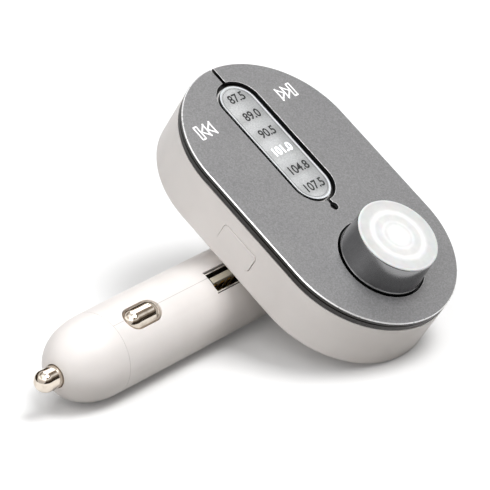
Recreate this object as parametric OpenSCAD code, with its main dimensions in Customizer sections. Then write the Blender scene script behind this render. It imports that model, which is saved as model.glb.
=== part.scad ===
// Car FM transmitter: a flat head with a knob and a dial, on a plug for a 12 V car socket that folds against its back.
// Every piece is drawn with the plug's axis along X, the hinge pin through the origin and the face towards +Z.
// Distances along the plug are measured from the hinge pin outwards, so a distance d lies at x = -d.
// As a last step all pieces lean over about the plug's axis, until the head's lower edge meets the floor.

/* [Head] */
// Width of the head across its face
head_w = 49.8; // [47:0.2:54]
// Length of the head
head_l = 82.5; // [80:0.5:90]
// Thickness of the head from its back to its face
head_t = 16.8; // [16.6:0.1:19]
// Rounding of the back edge
back_round = 1.2; // [0.4:0.05:1.4]
// Wall of the rear housing
case_wall = 1.6; // [1.3:0.1:2]
// Floor of the rear housing
case_floor = 1.6; // [1.4:0.05:1.7]
// Gap between the head's back and the folded plug
head_gap = 3; // [2.4:0.1:5]

/* [Face] */
// Thickness of the face plate and of its two keys
plate_t = 1; // [0.8:0.1:1.2]
// Bevel round the face plate
plate_bevel = 0.25; // [0.2:0.05:0.6]
// Gap under the keys, which they are pressed into
key_gap = 0.5; // [0.45:0.05:0.8]
// Height of the dark trim ring that shows
trim_h = 1.3; // [1:0.1:2]
// How far the trim ring stands back from the housing's side
trim_inset = 0.15; // [0.05:0.05:0.4]
// Width of the trim ring
trim_w = 2.45; // [2.3:0.05:3]
// Width of the slit between the two keys
slit_w = 1.05; // [0.5:0.05:1.2]
// Diameter of the microphone hole
mic_hole_d = 2.3; // [1.2:0.1:2.4]
// Distance of the microphone hole from the window
mic_drop = 2.1; // [1.9:0.1:2.6]
// Distance of the key stems from the head's side
key_side = 9.7; // [9.6:0.1:11]
// Place of the key stems from the head's upper end
key_end = 13.9; // [12:0.1:16]

/* [Dial] */
// Width of the window in the face
window_w = 13.1; // [12:0.1:14]
// Distance of the window from the head's upper end
window_end = 4.9; // [4:0.1:6]
// Distance of the window from the knob's middle
window_room = 19.4; // [19:0.1:21]
// Width of the dark groove round the lens
lens_gap = 0.75; // [0.4:0.05:0.8]
// Thickness of the lens
lens_t = 1.2; // [0.9:0.1:1.4]
// Bevel round the lens
lens_bevel = 0.35; // [0.1:0.05:0.5]
// How far the lens lies below the face
lens_sink = 0.2; // [0:0.05:0.4]
// Number of frequencies on the dial, each with its own light cell
dial_n = 6; // [3:1:6]
// What the window's length leaves over beyond the frequencies' cells
dial_margin = 4.12; // [3.6:0.02:5]

/* [Knob] */
// Diameter of the knob at its base
knob_d = 22; // [20:0.1:23]
// Diameter of the knob at its top
knob_top_d = 20.9; // [19.6:0.1:21.4]
// Height of the knob above the face
knob_h = 9.1; // [7:0.1:12]
// Distance of the knob's middle from the head's lower end
knob_end = 18.7; // [18:0.1:19]
// Gap between the knob and the face
knob_gap = 0.53; // [0.3:0.01:0.8]
// Depth of the knob's skirt below the face
knob_skirt = 1.6; // [1.2:0.1:1.7]
// Travel of the knob when pressed
knob_travel = 0.5; // [0.3:0.05:0.6]
// Thickness of the cap's edge that shows
cap_edge = 0.4; // [0.2:0.05:0.8]
// Wall of the knob's shell
knob_wall = 1.15; // [0.9:0.05:1.4]

/* [Side button] */
// Length of the button in the head's side
button_l = 11.3; // [9:0.1:13]
// Height of that button
button_h = 5.4; // [4.4:0.1:6]
// Depth of the button's middle below the face
button_depth = 9.35; // [9.3:0.05:9.5]
// How far the button stands out
button_out = 0.25; // [0.1:0.05:0.5]
// Travel of the button
button_travel = 0.5; // [0.3:0.05:0.6]

/* [Plug] */
// Diameter of the barrel, which fits a 12 V car socket
barrel_d = 20.7; // [20.5:0.05:21]
// Wall of the barrel's two shells
barrel_wall = 1.6; // [1.4:0.05:1.8]
// Diameter of the fork's cheeks at the hinge, towards which they taper
fork_d = 20.2; // [19.8:0.1:20.3]
// Distance of the fork's shoulder from the hinge pin
shoulder_x = 12; // [11:0.1:14]
// Distance at which the contacts' stretch of the barrel starts
tail_x = 45.5; // [45:0.1:45.7]
// Shift of the plane in which the barrel's two shells meet, to the dial's side
parting_y = 0.5; // [0:0.1:1]
// Draft of that stretch: how much smaller in radius it is at the nose
tail_draft = 0.05; // [0.03:0.01:0.1]
// Distance of the seam between the barrel and its nose
seam_x = 61; // [60.8:0.1:64]
// Length of the nose beyond the seam
nose_l = 14.4; // [13.6:0.1:17]
// Roundness of the nose: more is fuller
nose_full = 2.4; // [1.8:0.1:3]
// Bluntness of the nose's end: more is flatter
nose_blunt = 1.47; // [1.2:0.01:2]

/* [Contacts] */
// Diameter of the centre pin
pin_d = 5.5; // [5:0.1:6]
// How far the centre pin stands out
pin_out = 5.8; // [5.5:0.1:8]
// Travel of the centre pin
pin_travel = 3; // [2:0.1:3.2]
// Width of a side contact
contact_w = 6; // [5.4:0.1:6.2]
// Distance at which the side contacts start
contact_x0 = 46.1; // [46.1:0.1:47]
// Distance at which the side contacts end
contact_x1 = 57.2; // [55:0.1:58]
// How far a side contact stands out of the barrel
contact_rise = 1.25; // [1.2:0.01:1.3]
// Travel of a side contact
contact_travel = 1.2; // [1.1:0.05:1.25]

/* [USB port] */
// Distance of the port's middle from the hinge pin
usb_x = 21.6; // [21:0.1:23]
// Shift of the port's middle to the knob's side
usb_shift = 0.8; // [0.6:0.05:1]
// Length of the metal shell's mouth
usb_l = 13.1; // [13:0.1:13.3]
// Width of the metal shell's mouth
usb_w = 5.7; // [5.6:0.05:5.8]
// Depth of the metal shell
usb_depth = 13.6; // [12:0.1:15]
// Gap between the metal shell and the barrel's opening
usb_gap = 0.3; // [0.1:0.05:0.35]

/* [Hinge] */
// Thickness of the lug between the fork's cheeks
lug_t = 8; // [7:0.1:8.6]
// Radius of the lug's knuckle
knuckle_r = 6; // [5.6:0.1:6.4]
// Diameter of the hinge pin
hinge_d = 3; // [2.6:0.1:3.2]
// Running clearance of the hinge pin in the lug
hinge_run = 0.04; // [0.02:0.01:0.08]
// Thickness of a friction washer
washer_t = 0.5; // [0.3:0.05:0.6]

/* [Hidden] */
$fn = 64;

// How far a cut runs past the solid that it cuts
over = 1;
// Clearance of a piece that is fixed in another, per side
snug = 0.05;
// Clearance of a screw's shank in its hole
shank_gap = 0.02;

// Barrel and hinge
barrel_r = barrel_d / 2;
bore_r = barrel_r - barrel_wall;
fork_r = fork_d / 2;
washer_gap = 0.05;
slot_half = lug_t / 2 + washer_t + 2 * washer_gap;
slot_gap = 0.5;
slot_x = knuckle_r + slot_gap;
bulkhead_t = 1.5;
cavity_x = slot_x + bulkhead_t;
washer_r = 5;
hinge_head_r = 2.4;
hinge_head_t = 1;
hinge_sink = 0.7;
hinge_seat_gap = 0.1;

// Levels of the head
z_back = barrel_r + head_gap;
z_face = z_back + head_t;
z_plate = z_face - plate_t;
z_trim = z_plate - key_gap;
z_rim = z_trim - trim_h;
z_floor = z_back + case_floor;
deck_t = 1.2;
z_deck = z_trim - deck_t;
board_t = 1;
switch_axis = 1.75;
z_board_top = z_face - button_depth - switch_axis;
z_board = z_board_top - board_t;

// Places on the face
window_l = head_l - window_end - window_room - knob_end;
dial_pitch = (window_l - dial_margin) / dial_n;
window_y = head_l / 2 - window_end - window_l / 2;
mic_y = window_y - window_l / 2 - mic_drop;
knob_y = knob_end - head_l / 2;
key_x = head_w / 2 - key_side;
key_y = head_l / 2 - key_end;
knob_r = knob_d / 2;
knob_hole_r = knob_r + knob_gap;
lens_w = window_w - 2 * lens_gap;
lens_l = window_l - 2 * lens_gap;
film_t = 0.3;
z_lens = z_face - lens_sink - lens_t;
z_film = z_lens - film_t;
guide_gap = 0.2;
guide_wall = 1;
cell_wall = 0.7;
cell_w = lens_w - 2 * guide_wall;
cell_l = dial_pitch - cell_wall;
mic_r = 1.7;
mic_t = 1.4;
mic_gap = 0.1;
mic_cup_wall = 0.5;
mic_cup_floor = 0.4;

// Inside of the housing, where the boards, frames and screws go
inner_w = head_w - 2 * case_wall;
inner_l = head_l - 2 * case_wall;
board_gap = 0.4;
post_r = 2.4;
post_in = 3.3;
post_back = 2.2;
post_x = inner_w / 2 - post_r - post_in;
post_y = (head_l - head_w) / 2 - post_back;
screw_r = 1;
screw_head_r = 1.9;
screw_head_t = 1;
screw_head_gap = 0.15;
screw_floor = 0.8;
trim_lip_h = 2;
deck_gap = 0.1;
deck_w = head_w - 2 * (trim_inset + trim_w) - 2 * deck_gap;
deck_l = head_l - 2 * (trim_inset + trim_w) - 2 * deck_gap;
land_back = 0.3;
well_wall = 1;

// Parts on the main board, in the strips between the light guide and the posts.
// The shares are of a strip's width and of the distance from the middle to the key stems or the knob.
strip_edge = lens_w / 2 + guide_gap;
strip_w = post_x - post_r - strip_edge;
strip_x = strip_edge + strip_w / 2;
can_share = [0.9, 0.48];
can_h = 2.5;
can_y_share = 0.09;
can_y = key_y * can_y_share;
radio_share = [0.67, 0.22];
radio_y_share = 0.33;
radio_y = key_y * radio_y_share;
memory_share = [0.45, 0.18];
memory_y_share = 0.7;
memory_y = key_y * memory_y_share;
crystal_share = [0.36, 0.18];
crystal_y_share = 0.63;
crystal_y = key_y * crystal_y_share;
crystal_h = 1.2;
sound_share = [0.56, 0.2];
sound_y_share = 0.34;
sound_y = knob_y * sound_y_share;
chip_h = 1.2;
head_cap_share = 0.28;
head_cap_r = strip_w * head_cap_share;
head_cap_h = 5;
head_cap_y_share = 0.47;
head_cap_y = knob_y * head_cap_y_share;
far_cap_y_share = 0.7;
far_cap_y = knob_y * far_cap_y_share;

// Lug and its screws
lug_gap = 0.1;
lug_pad_h = 1.6;
lug_flange_t = 1.2;
lug_flange_side = 2;
lug_flange_end = 6;
lug_screw_y = lug_t / 2 + lug_flange_end / 2 + lug_gap;
lug_screw_r = 0.8;
lug_screw_head_r = 1.5;
lug_screw_head_t = 0.7;
lug_screw_l = 3.4;
z_flange = z_floor + lug_pad_h;

// Leads through the hinge
lead_d = 1.1;
lead_spread = 0.62;
lead_boss_r = 2.6;
lead_gap = 0.75;
lead_bend = 2.5;
lead_slot = 1.45;
lead_x = lead_boss_r + lead_gap + lead_d / 2;
lead_hole_r = 1.5;

// Keys and their switches
key_stem_r = 1.5;
stem_gap = 0.6;
key_switch_w = 6;
key_switch_h = 3.4;
key_button_r = 1.7;
key_button_gap = 0.2;
key_button_h = 1.3;
key_button_in = 0.6;
key_hollow = 1.2;
z_key_button = z_board_top + key_switch_h + key_button_h;

// Side button and its switch
button_corner = 1;
button_gap = 0.15;
button_flange = 0.8;
button_flange_t = 0.8;
button_stem_r = 1.2;
button_stem_l = 3.2;
button_wall_x = head_w / 2 - case_wall;
button_stem_x = button_wall_x - button_flange_t - button_stem_l;
side_switch_gap = 0.1;
side_switch_x = button_stem_x - button_travel - side_switch_gap;
side_switch_l = 3.5;
side_switch_w = 6;
side_switch_h = 3.6;
side_plunger_r = 0.9;
side_plunger_gap = 0.1;
side_plunger_in = 0.7;
side_hollow = 1.4;
notch_side = 1.6;

// Encoder under the knob
encoder_w = 12;
encoder_h = 5;
encoder_bush_r = 3.5;
encoder_bush_gap = 0.15;
encoder_bush_sink = 0.2;
encoder_hollow = 1.6;
shaft_r = 3;
shaft_run = 0.05;
shaft_flat = 1.5;
press_t = 0.5;
press_gap = 0.1;
z_press = z_board_top + encoder_hollow + knob_travel + press_gap;
press_seat_gap = 0.02;
z_shaft = z_press + press_t + press_seat_gap;
z_knob_top = z_face + knob_h;
z_cap = z_knob_top - cap_edge;
cap_plug = 1.2;
cap_plug_gap = 0.1;
core_web = 1.2;
core_hub_r = 4.6;
core_hub_lift = 0.6;
core_roof = 1;
knob_step_h = 0.55;
knob_step = 0.12;
knob_lip_r = 0.25;
knob_bore_r = min(knob_d, knob_top_d) / 2 - knob_wall;
z_core = z_cap - cap_plug - core_web;
z_shaft_top = z_core - core_roof;

// Nose, centre pin and fuse
nose_x = seam_x + nose_l;
nose_steps = 20;
nose_hole_gap = 0.2;
nose_hole_r = pin_d / 2 + nose_hole_gap;
nose_rim = 0.1;
nose_end_r = nose_hole_r + nose_rim;
nose_end_wall = 3.6;
spigot_l = 1.8;
spigot_wall = 1.3;
nose_room = 4;
pin_stop_x = nose_x - nose_end_wall;
pin_flange_t = 1.2;
pin_flange_r = 3.8;
pin_flange_gap = 0.4;
fuse_r = 2.6;
fuse_l = 20;
fuse_cap_l = 5;
fuse_cap_t = 0.2;
fuse_x1 = pin_stop_x - pin_flange_t;
fuse_x0 = fuse_x1 - fuse_l;
holder_gap = 0.25;
holder_wall = 0.75;
holder_r = fuse_r + holder_gap + holder_wall;
holder_back = 0.3;
holder_x0 = 43.9;
holder_x1 = fuse_x1 - pin_travel - holder_back;
holder_flange_t = 1.3;
contact_plate_t = 0.6;
tab_half = 0.45;
tab_l = 2.4;

// Side contacts
contact_r = contact_w / 2;
contact_z = barrel_r + contact_rise - contact_r;
contact_flange = 0.7;
contact_flange_t = 1;
contact_seat_gap = 0.1;
contact_gap = 0.15;
contact_flange_half = contact_r + contact_flange;
contact_flange_z = sqrt(bore_r * bore_r - contact_flange_half * contact_flange_half) - contact_seat_gap;
contact_foot_z = contact_flange_z - contact_flange_t;
contact_mid_x = (contact_x0 + contact_x1) / 2;

// Springs: wire radius, mean radius of the coil, turns
pin_spring_wire = 0.3;
pin_spring_r = 2.1;
pin_spring_turns = 5;
side_spring_wire = 0.22;
side_spring_r = 1.3;
side_spring_turns = 4;

// USB port and the power board beside it
usb_wall = 0.35;
usb_sink = 0.28;
usb_edge_y = usb_shift + usb_w / 2;
usb_top = sqrt(barrel_r * barrel_r - usb_edge_y * usb_edge_y) - usb_sink;
usb_floor = usb_top - usb_depth;
usb_base = 1.6;
tongue_t = 1.6;
tongue_side = 1;
tongue_sink = 0.5;
tongue_off = 0.75;
usb_contact_w = 1.1;
usb_contact_t = 0.3;
usb_contact_pitch = 2.5;
usb_contact_sink = 1.2;
usb_contact_n = 4;
power_y = usb_w / 2 - usb_shift;
power_t = 1;
power_half = 7.4;
power_end_gap = 0.6;
power_x0 = cavity_x + power_end_gap;
power_x1 = holder_x0 - power_end_gap;

// Screw through the two shells
boss_x = 34;
boss_r = 2.2;
boss_head_r = 3;
boss_gap = 0.3;
boss_seat_y = 7;
boss_neck_y = 5;
plug_screw_in = 5;
plug_screw_head_t = 1.1;

// Lean of the whole part: the head's rounded lower edge comes down to the barrel's lowest line
edge_y = head_l / 2 - back_round;
edge_z = z_back + back_round;
edge_reach = sqrt(edge_y * edge_y + edge_z * edge_z);
lean = acos((back_round - barrel_r) / edge_reach) - atan(edge_y / edge_z);

// The part's own frame: origin on the plug's axis at the fork's shoulder
module rest() {
    translate([shoulder_x, 0, 0]) rotate([lean, 0, 0]) children();
}

// Block between two corners
module block(low, high) {
    translate(low) cube(high - low);
}

// Upright cylinder between two heights
module post(x, y, z0, z1, r) {
    translate([x, y, z0]) cylinder(r = r, h = z1 - z0);
}

// Cylinder on the plug's axis between two distances from the hinge pin
module bar(d0, d1, r) {
    translate([-d1, 0, 0]) rotate([0, 90, 0]) cylinder(r = r, h = d1 - d0);
}

// Cone on the plug's axis between two distances from the hinge pin
module taper(d0, d1, r0, r1) {
    translate([-d0, 0, 0]) rotate([0, -90, 0]) cylinder(r1 = r0, r2 = r1, h = d1 - d0);
}

// Cylinder along Y at the distance d and the height z
module cross(d, z, y0, y1, r) {
    translate([-d, y1, z]) rotate([90, 0, 0]) cylinder(r = r, h = y1 - y0);
}

// Flat outline with round ends, its long side along Y
module stadium(w, l) {
    square([w, l - w], center = true);
    for (side = [-1, 1]) translate([0, side * (l - w) / 2]) circle(d = w);
}

// Plate of that outline between two heights
module plate(w, l, y, z0, z1) {
    translate([0, y, z0]) linear_extrude(z1 - z0) stadium(w, l);
}

// Solid with round ends whose half section is its child, drawn from the middle line outwards
module pill(w, l) {
    for (side = [-1, 1]) translate([0, side * (l - w) / 2, 0]) rotate_extrude() children();
    rotate([90, 0, 0]) linear_extrude(l - w, center = true) {
        children();
        mirror([1, 0]) children();
    }
}

// Half section of a plate with a bevelled upper edge
module bevel_section(w, z0, z1, bevel) {
    polygon([[0, z0], [w / 2, z0], [w / 2, z1 - bevel], [w / 2 - bevel, z1], [0, z1]]);
}

// The four corners where screws hold the frame, the board and the housing together
module at_posts() {
    for (x = [-post_x, post_x], y = [-post_y, post_y]) translate([x, y, 0]) children();
}

// Round wire wound on the Z axis, from height 0 to h
module coil(wire, r, turns, h) {
    steps = 14;
    sides = 6;
    rise = h - 2 * wire;
    rings = [for (i = [0 : turns * steps]) let (a = 360 * i / steps, z = wire + rise * i / (turns * steps))
        for (j = [0 : sides - 1]) let (b = 360 * j / sides, s = r + wire * cos(b))
            [s * cos(a), s * sin(a), z + wire * sin(b)]];
    last = turns * steps * sides;
    skin = [for (i = [0 : turns * steps - 1], j = [0 : sides - 1])
        let (k = i * sides, n = (j + 1) % sides)
            each [[k + j, k + sides + j, k + n], [k + n, k + sides + j, k + sides + n]]];
    ends = [[for (j = [0 : sides - 1]) j], [for (j = [sides - 1 : -1 : 0]) last + j]];
    polyhedron(rings, concat(skin, ends), convexity = 10);
}

// White rear housing with its bosses, the lug's opening and the side button's window
module casing_section() {
    translate([0, z_back]) square([head_w / 2 - back_round, z_rim - z_back]);
    translate([0, z_back + back_round]) square([head_w / 2, z_rim - z_back - back_round]);
    translate([head_w / 2 - back_round, z_back + back_round]) circle(r = back_round);
}

module rear_housing() {
    pad_x = knuckle_r + lug_flange_side;
    pad_y = lug_t / 2 + lug_flange_end;
    hole_x = knuckle_r + lug_gap;
    hole_y = lug_t / 2 + lug_gap;
    color("#efebe8") difference() {
        union() {
            difference() {
                pill(head_w, head_l) casing_section();
                plate(inner_w, inner_l, 0, z_floor, z_rim + over);
            }
            at_posts() post(0, 0, z_floor, z_board, post_r);
            block([-pad_x, -pad_y, z_floor], [pad_x, pad_y, z_flange]);
        }
        block([-hole_x, -hole_y, z_back - over], [hole_x, hole_y, z_flange + over]);
        at_posts() post(0, 0, z_back + screw_floor, z_board + over, screw_r + shank_gap);
        for (side = [-1, 1]) post(0, side * lug_screw_y, z_flange + lug_flange_t - lug_screw_l - shank_gap,
            z_flange + over, lug_screw_r + shank_gap);
        side_window(button_wall_x - over, head_w / 2 + over, button_gap);
    }
}

// Rounded rectangle in the head's side, between two distances from the middle
module side_window(x0, x1, grow) {
    l = button_l + 2 * grow;
    h = button_h + 2 * grow;
    r = button_corner + grow;
    translate([-x1, 0, z_face - button_depth]) rotate([90, 0, 90]) linear_extrude(x1 - x0) {
        square([l - 2 * r, h], center = true);
        square([l, h - 2 * r], center = true);
        for (u = [-1, 1], v = [-1, 1]) translate([u * (l / 2 - r), v * (h / 2 - r)]) circle(r = r);
    }
}

// Dark trim ring between the housing and the face plate
module trim_ring() {
    lip_w = inner_w - 2 * snug;
    lip_l = inner_l - 2 * snug;
    color("#3a3432") difference() {
        union() {
            plate(head_w - 2 * trim_inset, head_l - 2 * trim_inset, 0, z_rim, z_trim);
            plate(lip_w, lip_l, 0, z_rim - trim_lip_h, z_rim);
        }
        plate(deck_w + 2 * deck_gap, deck_l + 2 * deck_gap, 0, z_rim - trim_lip_h - over, z_trim + over);
    }
}

// The whole grey plate, before it is parted into the fixed plate and the two keys
module whole_plate() {
    difference() {
        pill(head_w, head_l) bevel_section(head_w, z_plate, z_face, plate_bevel);
        plate(window_w, window_l, window_y, z_plate - over, z_face + over);
        block([-slit_w / 2, mic_y, z_plate - over], [slit_w / 2, head_l / 2 + over, z_face + over]);
        post(0, mic_y, z_plate - over, z_face + over, mic_hole_d / 2);
        post(0, knob_y, z_plate - over, z_face + over, knob_hole_r);
    }
}

module face_plate() {
    color("#9a9b9e") difference() {
        whole_plate();
        block([-head_w, mic_y, z_plate - over], [head_w, head_l, z_face + over]);
    }
}

// One key: half of the plate's upper part with the stem that presses its switch
module key(side) {
    color("#9a9b9e") {
        intersection() {
            whole_plate();
            translate([side > 0 ? 0 : -head_w, mic_y, z_plate - over]) cube([head_w, head_l, plate_t + 2 * over]);
        }
        post(side * key_x, key_y, z_key_button, z_plate, key_stem_r);
    }
}

module key_plunger(side) {
    color("#2a2a2c")
        post(side * key_x, key_y, z_board_top + key_switch_h - key_button_in, z_key_button, key_button_r);
}

// Two push switches under the keys
module key_switches() {
    color("#8f9194") for (side = [-1, 1]) translate([side * key_x, key_y, z_board_top]) difference() {
        block([-key_switch_w / 2, -key_switch_w / 2, 0], [key_switch_w / 2, key_switch_w / 2, key_switch_h]);
        post(0, 0, key_switch_h - key_hollow, key_switch_h + over, key_button_r + key_button_gap);
    }
}

// Clear lens, the silver film with the frequencies, and the guide with one light cell for each
module scale_lens() {
    color("#d9dcde", 0.6) translate([0, window_y, 0])
        pill(lens_w, lens_l) bevel_section(lens_w, z_lens, z_lens + lens_t, lens_bevel);
}

module scale_film() {
    color("#cfd1d2") plate(lens_w, lens_l, window_y, z_film, z_lens);
}

module at_dial() {
    for (i = [0 : dial_n - 1]) translate([0, window_y + (i - (dial_n - 1) / 2) * dial_pitch, 0]) children();
}

module light_guide() {
    color("white") difference() {
        plate(lens_w, lens_l, window_y, z_board_top, z_film);
        intersection() {
            plate(cell_w, lens_l - 2 * guide_wall, window_y, z_board_top - over, z_film + over);
            at_dial() block([-cell_w / 2, -cell_l / 2, z_board_top - over], [cell_w / 2, cell_l / 2, z_film + over]);
        }
    }
}

module scale_leds() {
    led_l = 2;
    led_w = 1.6;
    led_h = 0.8;
    color("#f4f1d0") at_dial() block([-led_l / 2, -led_w / 2, z_board_top], [led_l / 2, led_w / 2, z_board_top + led_h]);
}

// Black inner frame: the deck under the face, its posts, the knob's well and the microphone's cup
module inner_frame() {
    well_r = knob_hole_r + well_wall;
    cup_r = mic_r + mic_gap + mic_cup_wall;
    cup_z = z_trim - mic_t - mic_cup_floor;
    color("#17171a") difference() {
        union() {
            plate(deck_w, deck_l, 0, z_deck, z_trim);
            intersection() {
                plate(deck_w, deck_l, 0, z_trim, z_plate);
                block([-head_w, -head_l, z_trim], [head_w, mic_y - land_back, z_plate]);
            }
            at_posts() post(0, 0, z_board_top, z_deck, post_r);
            post(0, knob_y, z_deck - deck_t, z_deck, well_r);
            post(0, mic_y, cup_z, z_deck, cup_r);
        }
        post(0, knob_y, z_deck, z_plate + over, knob_hole_r);
        post(0, knob_y, z_deck - deck_t - over, z_plate + over, encoder_bush_r + encoder_bush_gap);
        post(0, mic_y, z_trim - mic_t, z_plate + over, mic_r + mic_gap);
        plate(lens_w + 2 * guide_gap, lens_l + 2 * guide_gap, window_y, z_deck - over, z_plate + over);
        for (side = [-1, 1]) post(side * key_x, key_y, z_deck - over, z_plate + over, key_stem_r + stem_gap);
        at_posts() post(0, 0, z_board_top - over, z_plate + over, screw_r + shank_gap);
        at_posts() post(0, 0, z_trim - screw_head_t, z_plate + over, screw_head_r + screw_head_gap);
    }
}

module frame_screws() {
    color("#b9bbbe") at_posts() {
        post(0, 0, z_trim - screw_head_t, z_trim, screw_head_r);
        post(0, 0, z_back + screw_floor + shank_gap, z_trim - screw_head_t, screw_r);
    }
}

// Main board and what is soldered to it
module main_board() {
    notch_y = button_l / 2 + notch_side;
    color("#1f6b3b") difference() {
        plate(inner_w - 2 * board_gap, inner_l - 2 * board_gap, 0, z_board, z_board_top);
        at_posts() post(0, 0, z_board - over, z_board_top + over, screw_r + screw_head_gap);
        block([-head_w, -notch_y, z_board - over], [-side_switch_x, notch_y, z_board_top + over]);
    }
}

// A part on the main board: its middle, length, width and height
module on_board(x, y, size) {
    translate([x, y, z_board_top]) block([-size.x / 2, -size.y / 2, 0], [size.x / 2, size.y / 2, size.z]);
}

module shield_can() {
    color("#c6c8ca") on_board(strip_x, can_y, [strip_w * can_share.x, key_y * can_share.y, can_h]);
}

module head_chips() {
    color("#222326") {
        on_board(-strip_x, radio_y, [strip_w * radio_share.x, key_y * radio_share.y, chip_h]);
        on_board(-strip_x, sound_y, [strip_w * sound_share.x, key_y * sound_share.y, chip_h]);
        on_board(strip_x, memory_y, [strip_w * memory_share.x, key_y * memory_share.y, chip_h]);
    }
}

module head_capacitors() {
    color("#2b3350") {
        post(strip_x, head_cap_y, z_board_top, z_board_top + head_cap_h, head_cap_r);
        post(-strip_x, far_cap_y, z_board_top, z_board_top + head_cap_h, head_cap_r);
    }
}

module crystal() {
    color("#cfd0d2") on_board(-strip_x, crystal_y, [strip_w * crystal_share.x, key_y * crystal_share.y, crystal_h]);
}

module mic_capsule() {
    color("#a9abad") post(0, mic_y, z_trim - mic_t, z_trim, mic_r);
}

// Side button, the plunger that it pushes, and the switch
module channel_button() {
    z = z_face - button_depth;
    color("#efebe8") {
        side_window(button_wall_x - snug, head_w / 2 + button_out, 0);
        side_window(button_wall_x - button_flange_t, button_wall_x, button_flange);
        translate([-button_wall_x + button_flange_t / 2, 0, z]) rotate([0, 90, 0])
            cylinder(r = button_stem_r, h = button_stem_l + button_flange_t / 2);
    }
}

module channel_plunger() {
    color("#2a2a2c") translate([-button_stem_x, 0, z_face - button_depth]) rotate([0, 90, 0])
        cylinder(r = side_plunger_r, h = button_stem_x - side_switch_x + side_plunger_in);
}

module channel_switch() {
    color("#8f9194") difference() {
        block([-side_switch_x, -side_switch_w / 2, z_board_top],
            [side_switch_l - side_switch_x, side_switch_w / 2, z_board_top + side_switch_h]);
        translate([-side_switch_x - over, 0, z_face - button_depth]) rotate([0, 90, 0])
            cylinder(r = side_plunger_r + side_plunger_gap, h = side_hollow + over);
    }
}

// Encoder, its press plunger and its shaft with a flat
module encoder_body() {
    bush_z = z_deck - encoder_bush_sink;
    color("#9b9da0") difference() {
        union() {
            on_board(0, knob_y, [encoder_w, encoder_w, encoder_h]);
            post(0, knob_y, z_board_top + encoder_h, bush_z, encoder_bush_r);
        }
        post(0, knob_y, z_board_top + encoder_hollow, bush_z + over, shaft_r + shaft_run);
    }
}

module press_plunger() {
    color("#3b3b3e") post(0, knob_y, z_press, z_press + press_t, shaft_r - press_gap);
}

module d_bar(z0, z1, grow) {
    difference() {
        post(0, knob_y, z0, z1, shaft_r + grow);
        block([shaft_flat + grow, knob_y - knob_r, z_face - knob_skirt], [knob_r, knob_y + knob_r, z1 + over]);
    }
}

module encoder_shaft() {
    color("#c9b27a") d_bar(z_shaft, z_shaft_top, 0);
}

// Knob: translucent core on the shaft, grey shell, milky cap
module knob_core() {
    hub_z = z_face - knob_skirt + core_hub_lift;
    color("#f3f4f4") difference() {
        union() {
            post(0, knob_y, z_core, z_core + core_web, knob_bore_r - snug);
            post(0, knob_y, hub_z, z_core, core_hub_r);
        }
        intersection() {
            d_bar(hub_z - over, z_shaft_top + shank_gap, shank_gap);
            post(0, knob_y, hub_z - over, z_shaft_top + shank_gap, knob_r);
        }
    }
}

module knob_shell() {
    z0 = z_face - knob_skirt;
    z1 = z_face + knob_step_h;
    color("#77797c") translate([0, knob_y, 0]) difference() {
        union() {
            post(0, 0, z0, z1, knob_r);
            translate([0, 0, z1]) cylinder(r1 = knob_r - knob_step, r2 = knob_top_d / 2, h = z_cap - z1);
        }
        post(0, 0, z0 - over, z_cap + over, knob_bore_r);
    }
}

module knob_cap() {
    edge_r = knob_top_d / 2;
    round_r = min(knob_lip_r, cap_edge / 2);
    color("#f1f2f2") translate([0, knob_y, 0]) union() {
        rotate_extrude() {
            translate([0, z_cap]) square([edge_r, cap_edge - round_r]);
            translate([0, z_cap]) square([edge_r - round_r, cap_edge]);
            translate([edge_r - round_r, z_knob_top - round_r]) circle(r = round_r);
        }
        post(0, 0, z_cap - cap_plug, z_cap, knob_bore_r - cap_plug_gap);
    }
}

// Lug on the head's back, which the fork turns about
module hinge_lug() {
    half = lug_t / 2;
    flange_x = knuckle_r + lug_flange_side;
    flange_y = half + lug_flange_end;
    channel_x0 = -(lead_x + lead_d / 2 + lead_gap);
    channel_x1 = -(lead_x - lead_d / 2 - lead_gap / 2);
    color("#efebe8") difference() {
        union() {
            cross(0, 0, -half, half, knuckle_r);
            block([-knuckle_r, -half, 0], [knuckle_r, half, z_flange]);
            block([-flange_x, -flange_y, z_flange], [flange_x, flange_y, z_flange + lug_flange_t]);
        }
        cross(0, 0, -half - over, half + over, hinge_d / 2 + hinge_run);
        difference() {
            block([-knuckle_r - over, -lead_slot, -knuckle_r - over], [knuckle_r + over, lead_slot, lead_bend]);
            cross(0, 0, -half, half, lead_boss_r);
        }
        block([channel_x0, -lead_slot, 0], [channel_x1, lead_slot, z_flange + lug_flange_t + over]);
        for (side = [-1, 1]) {
            post(0, side * lug_screw_y, z_flange - over, z_flange + lug_flange_t + over, lug_screw_r + shank_gap);
            post(0, side * lug_screw_y, z_flange + lug_flange_t - lug_screw_head_t,
                z_flange + lug_flange_t + over, lug_screw_head_r + shank_gap);
        }
    }
}

module lug_screws() {
    z1 = z_flange + lug_flange_t;
    color("#b9bbbe") for (side = [-1, 1]) {
        post(0, side * lug_screw_y, z1 - lug_screw_head_t, z1, lug_screw_head_r);
        post(0, side * lug_screw_y, z1 - lug_screw_l, z1 - lug_screw_head_t, lug_screw_r);
    }
}

module hinge_pin() {
    end_y = fork_r - hinge_sink;
    color("silver") {
        cross(0, 0, -end_y, end_y, hinge_d / 2);
        for (side = [-1, 1]) translate([0, side * (end_y - hinge_head_t / 2), 0])
            cross(0, 0, -hinge_head_t / 2, hinge_head_t / 2, hinge_head_r);
    }
}

module hinge_washers() {
    mid = lug_t / 2 + washer_gap + washer_t / 2;
    color("#c9c3b0") for (side = [-1, 1]) translate([0, side * mid, 0]) difference() {
        cross(0, 0, -washer_t / 2, washer_t / 2, washer_r);
        cross(0, 0, -washer_t, washer_t, hinge_d / 2 + snug);
    }
}

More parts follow.
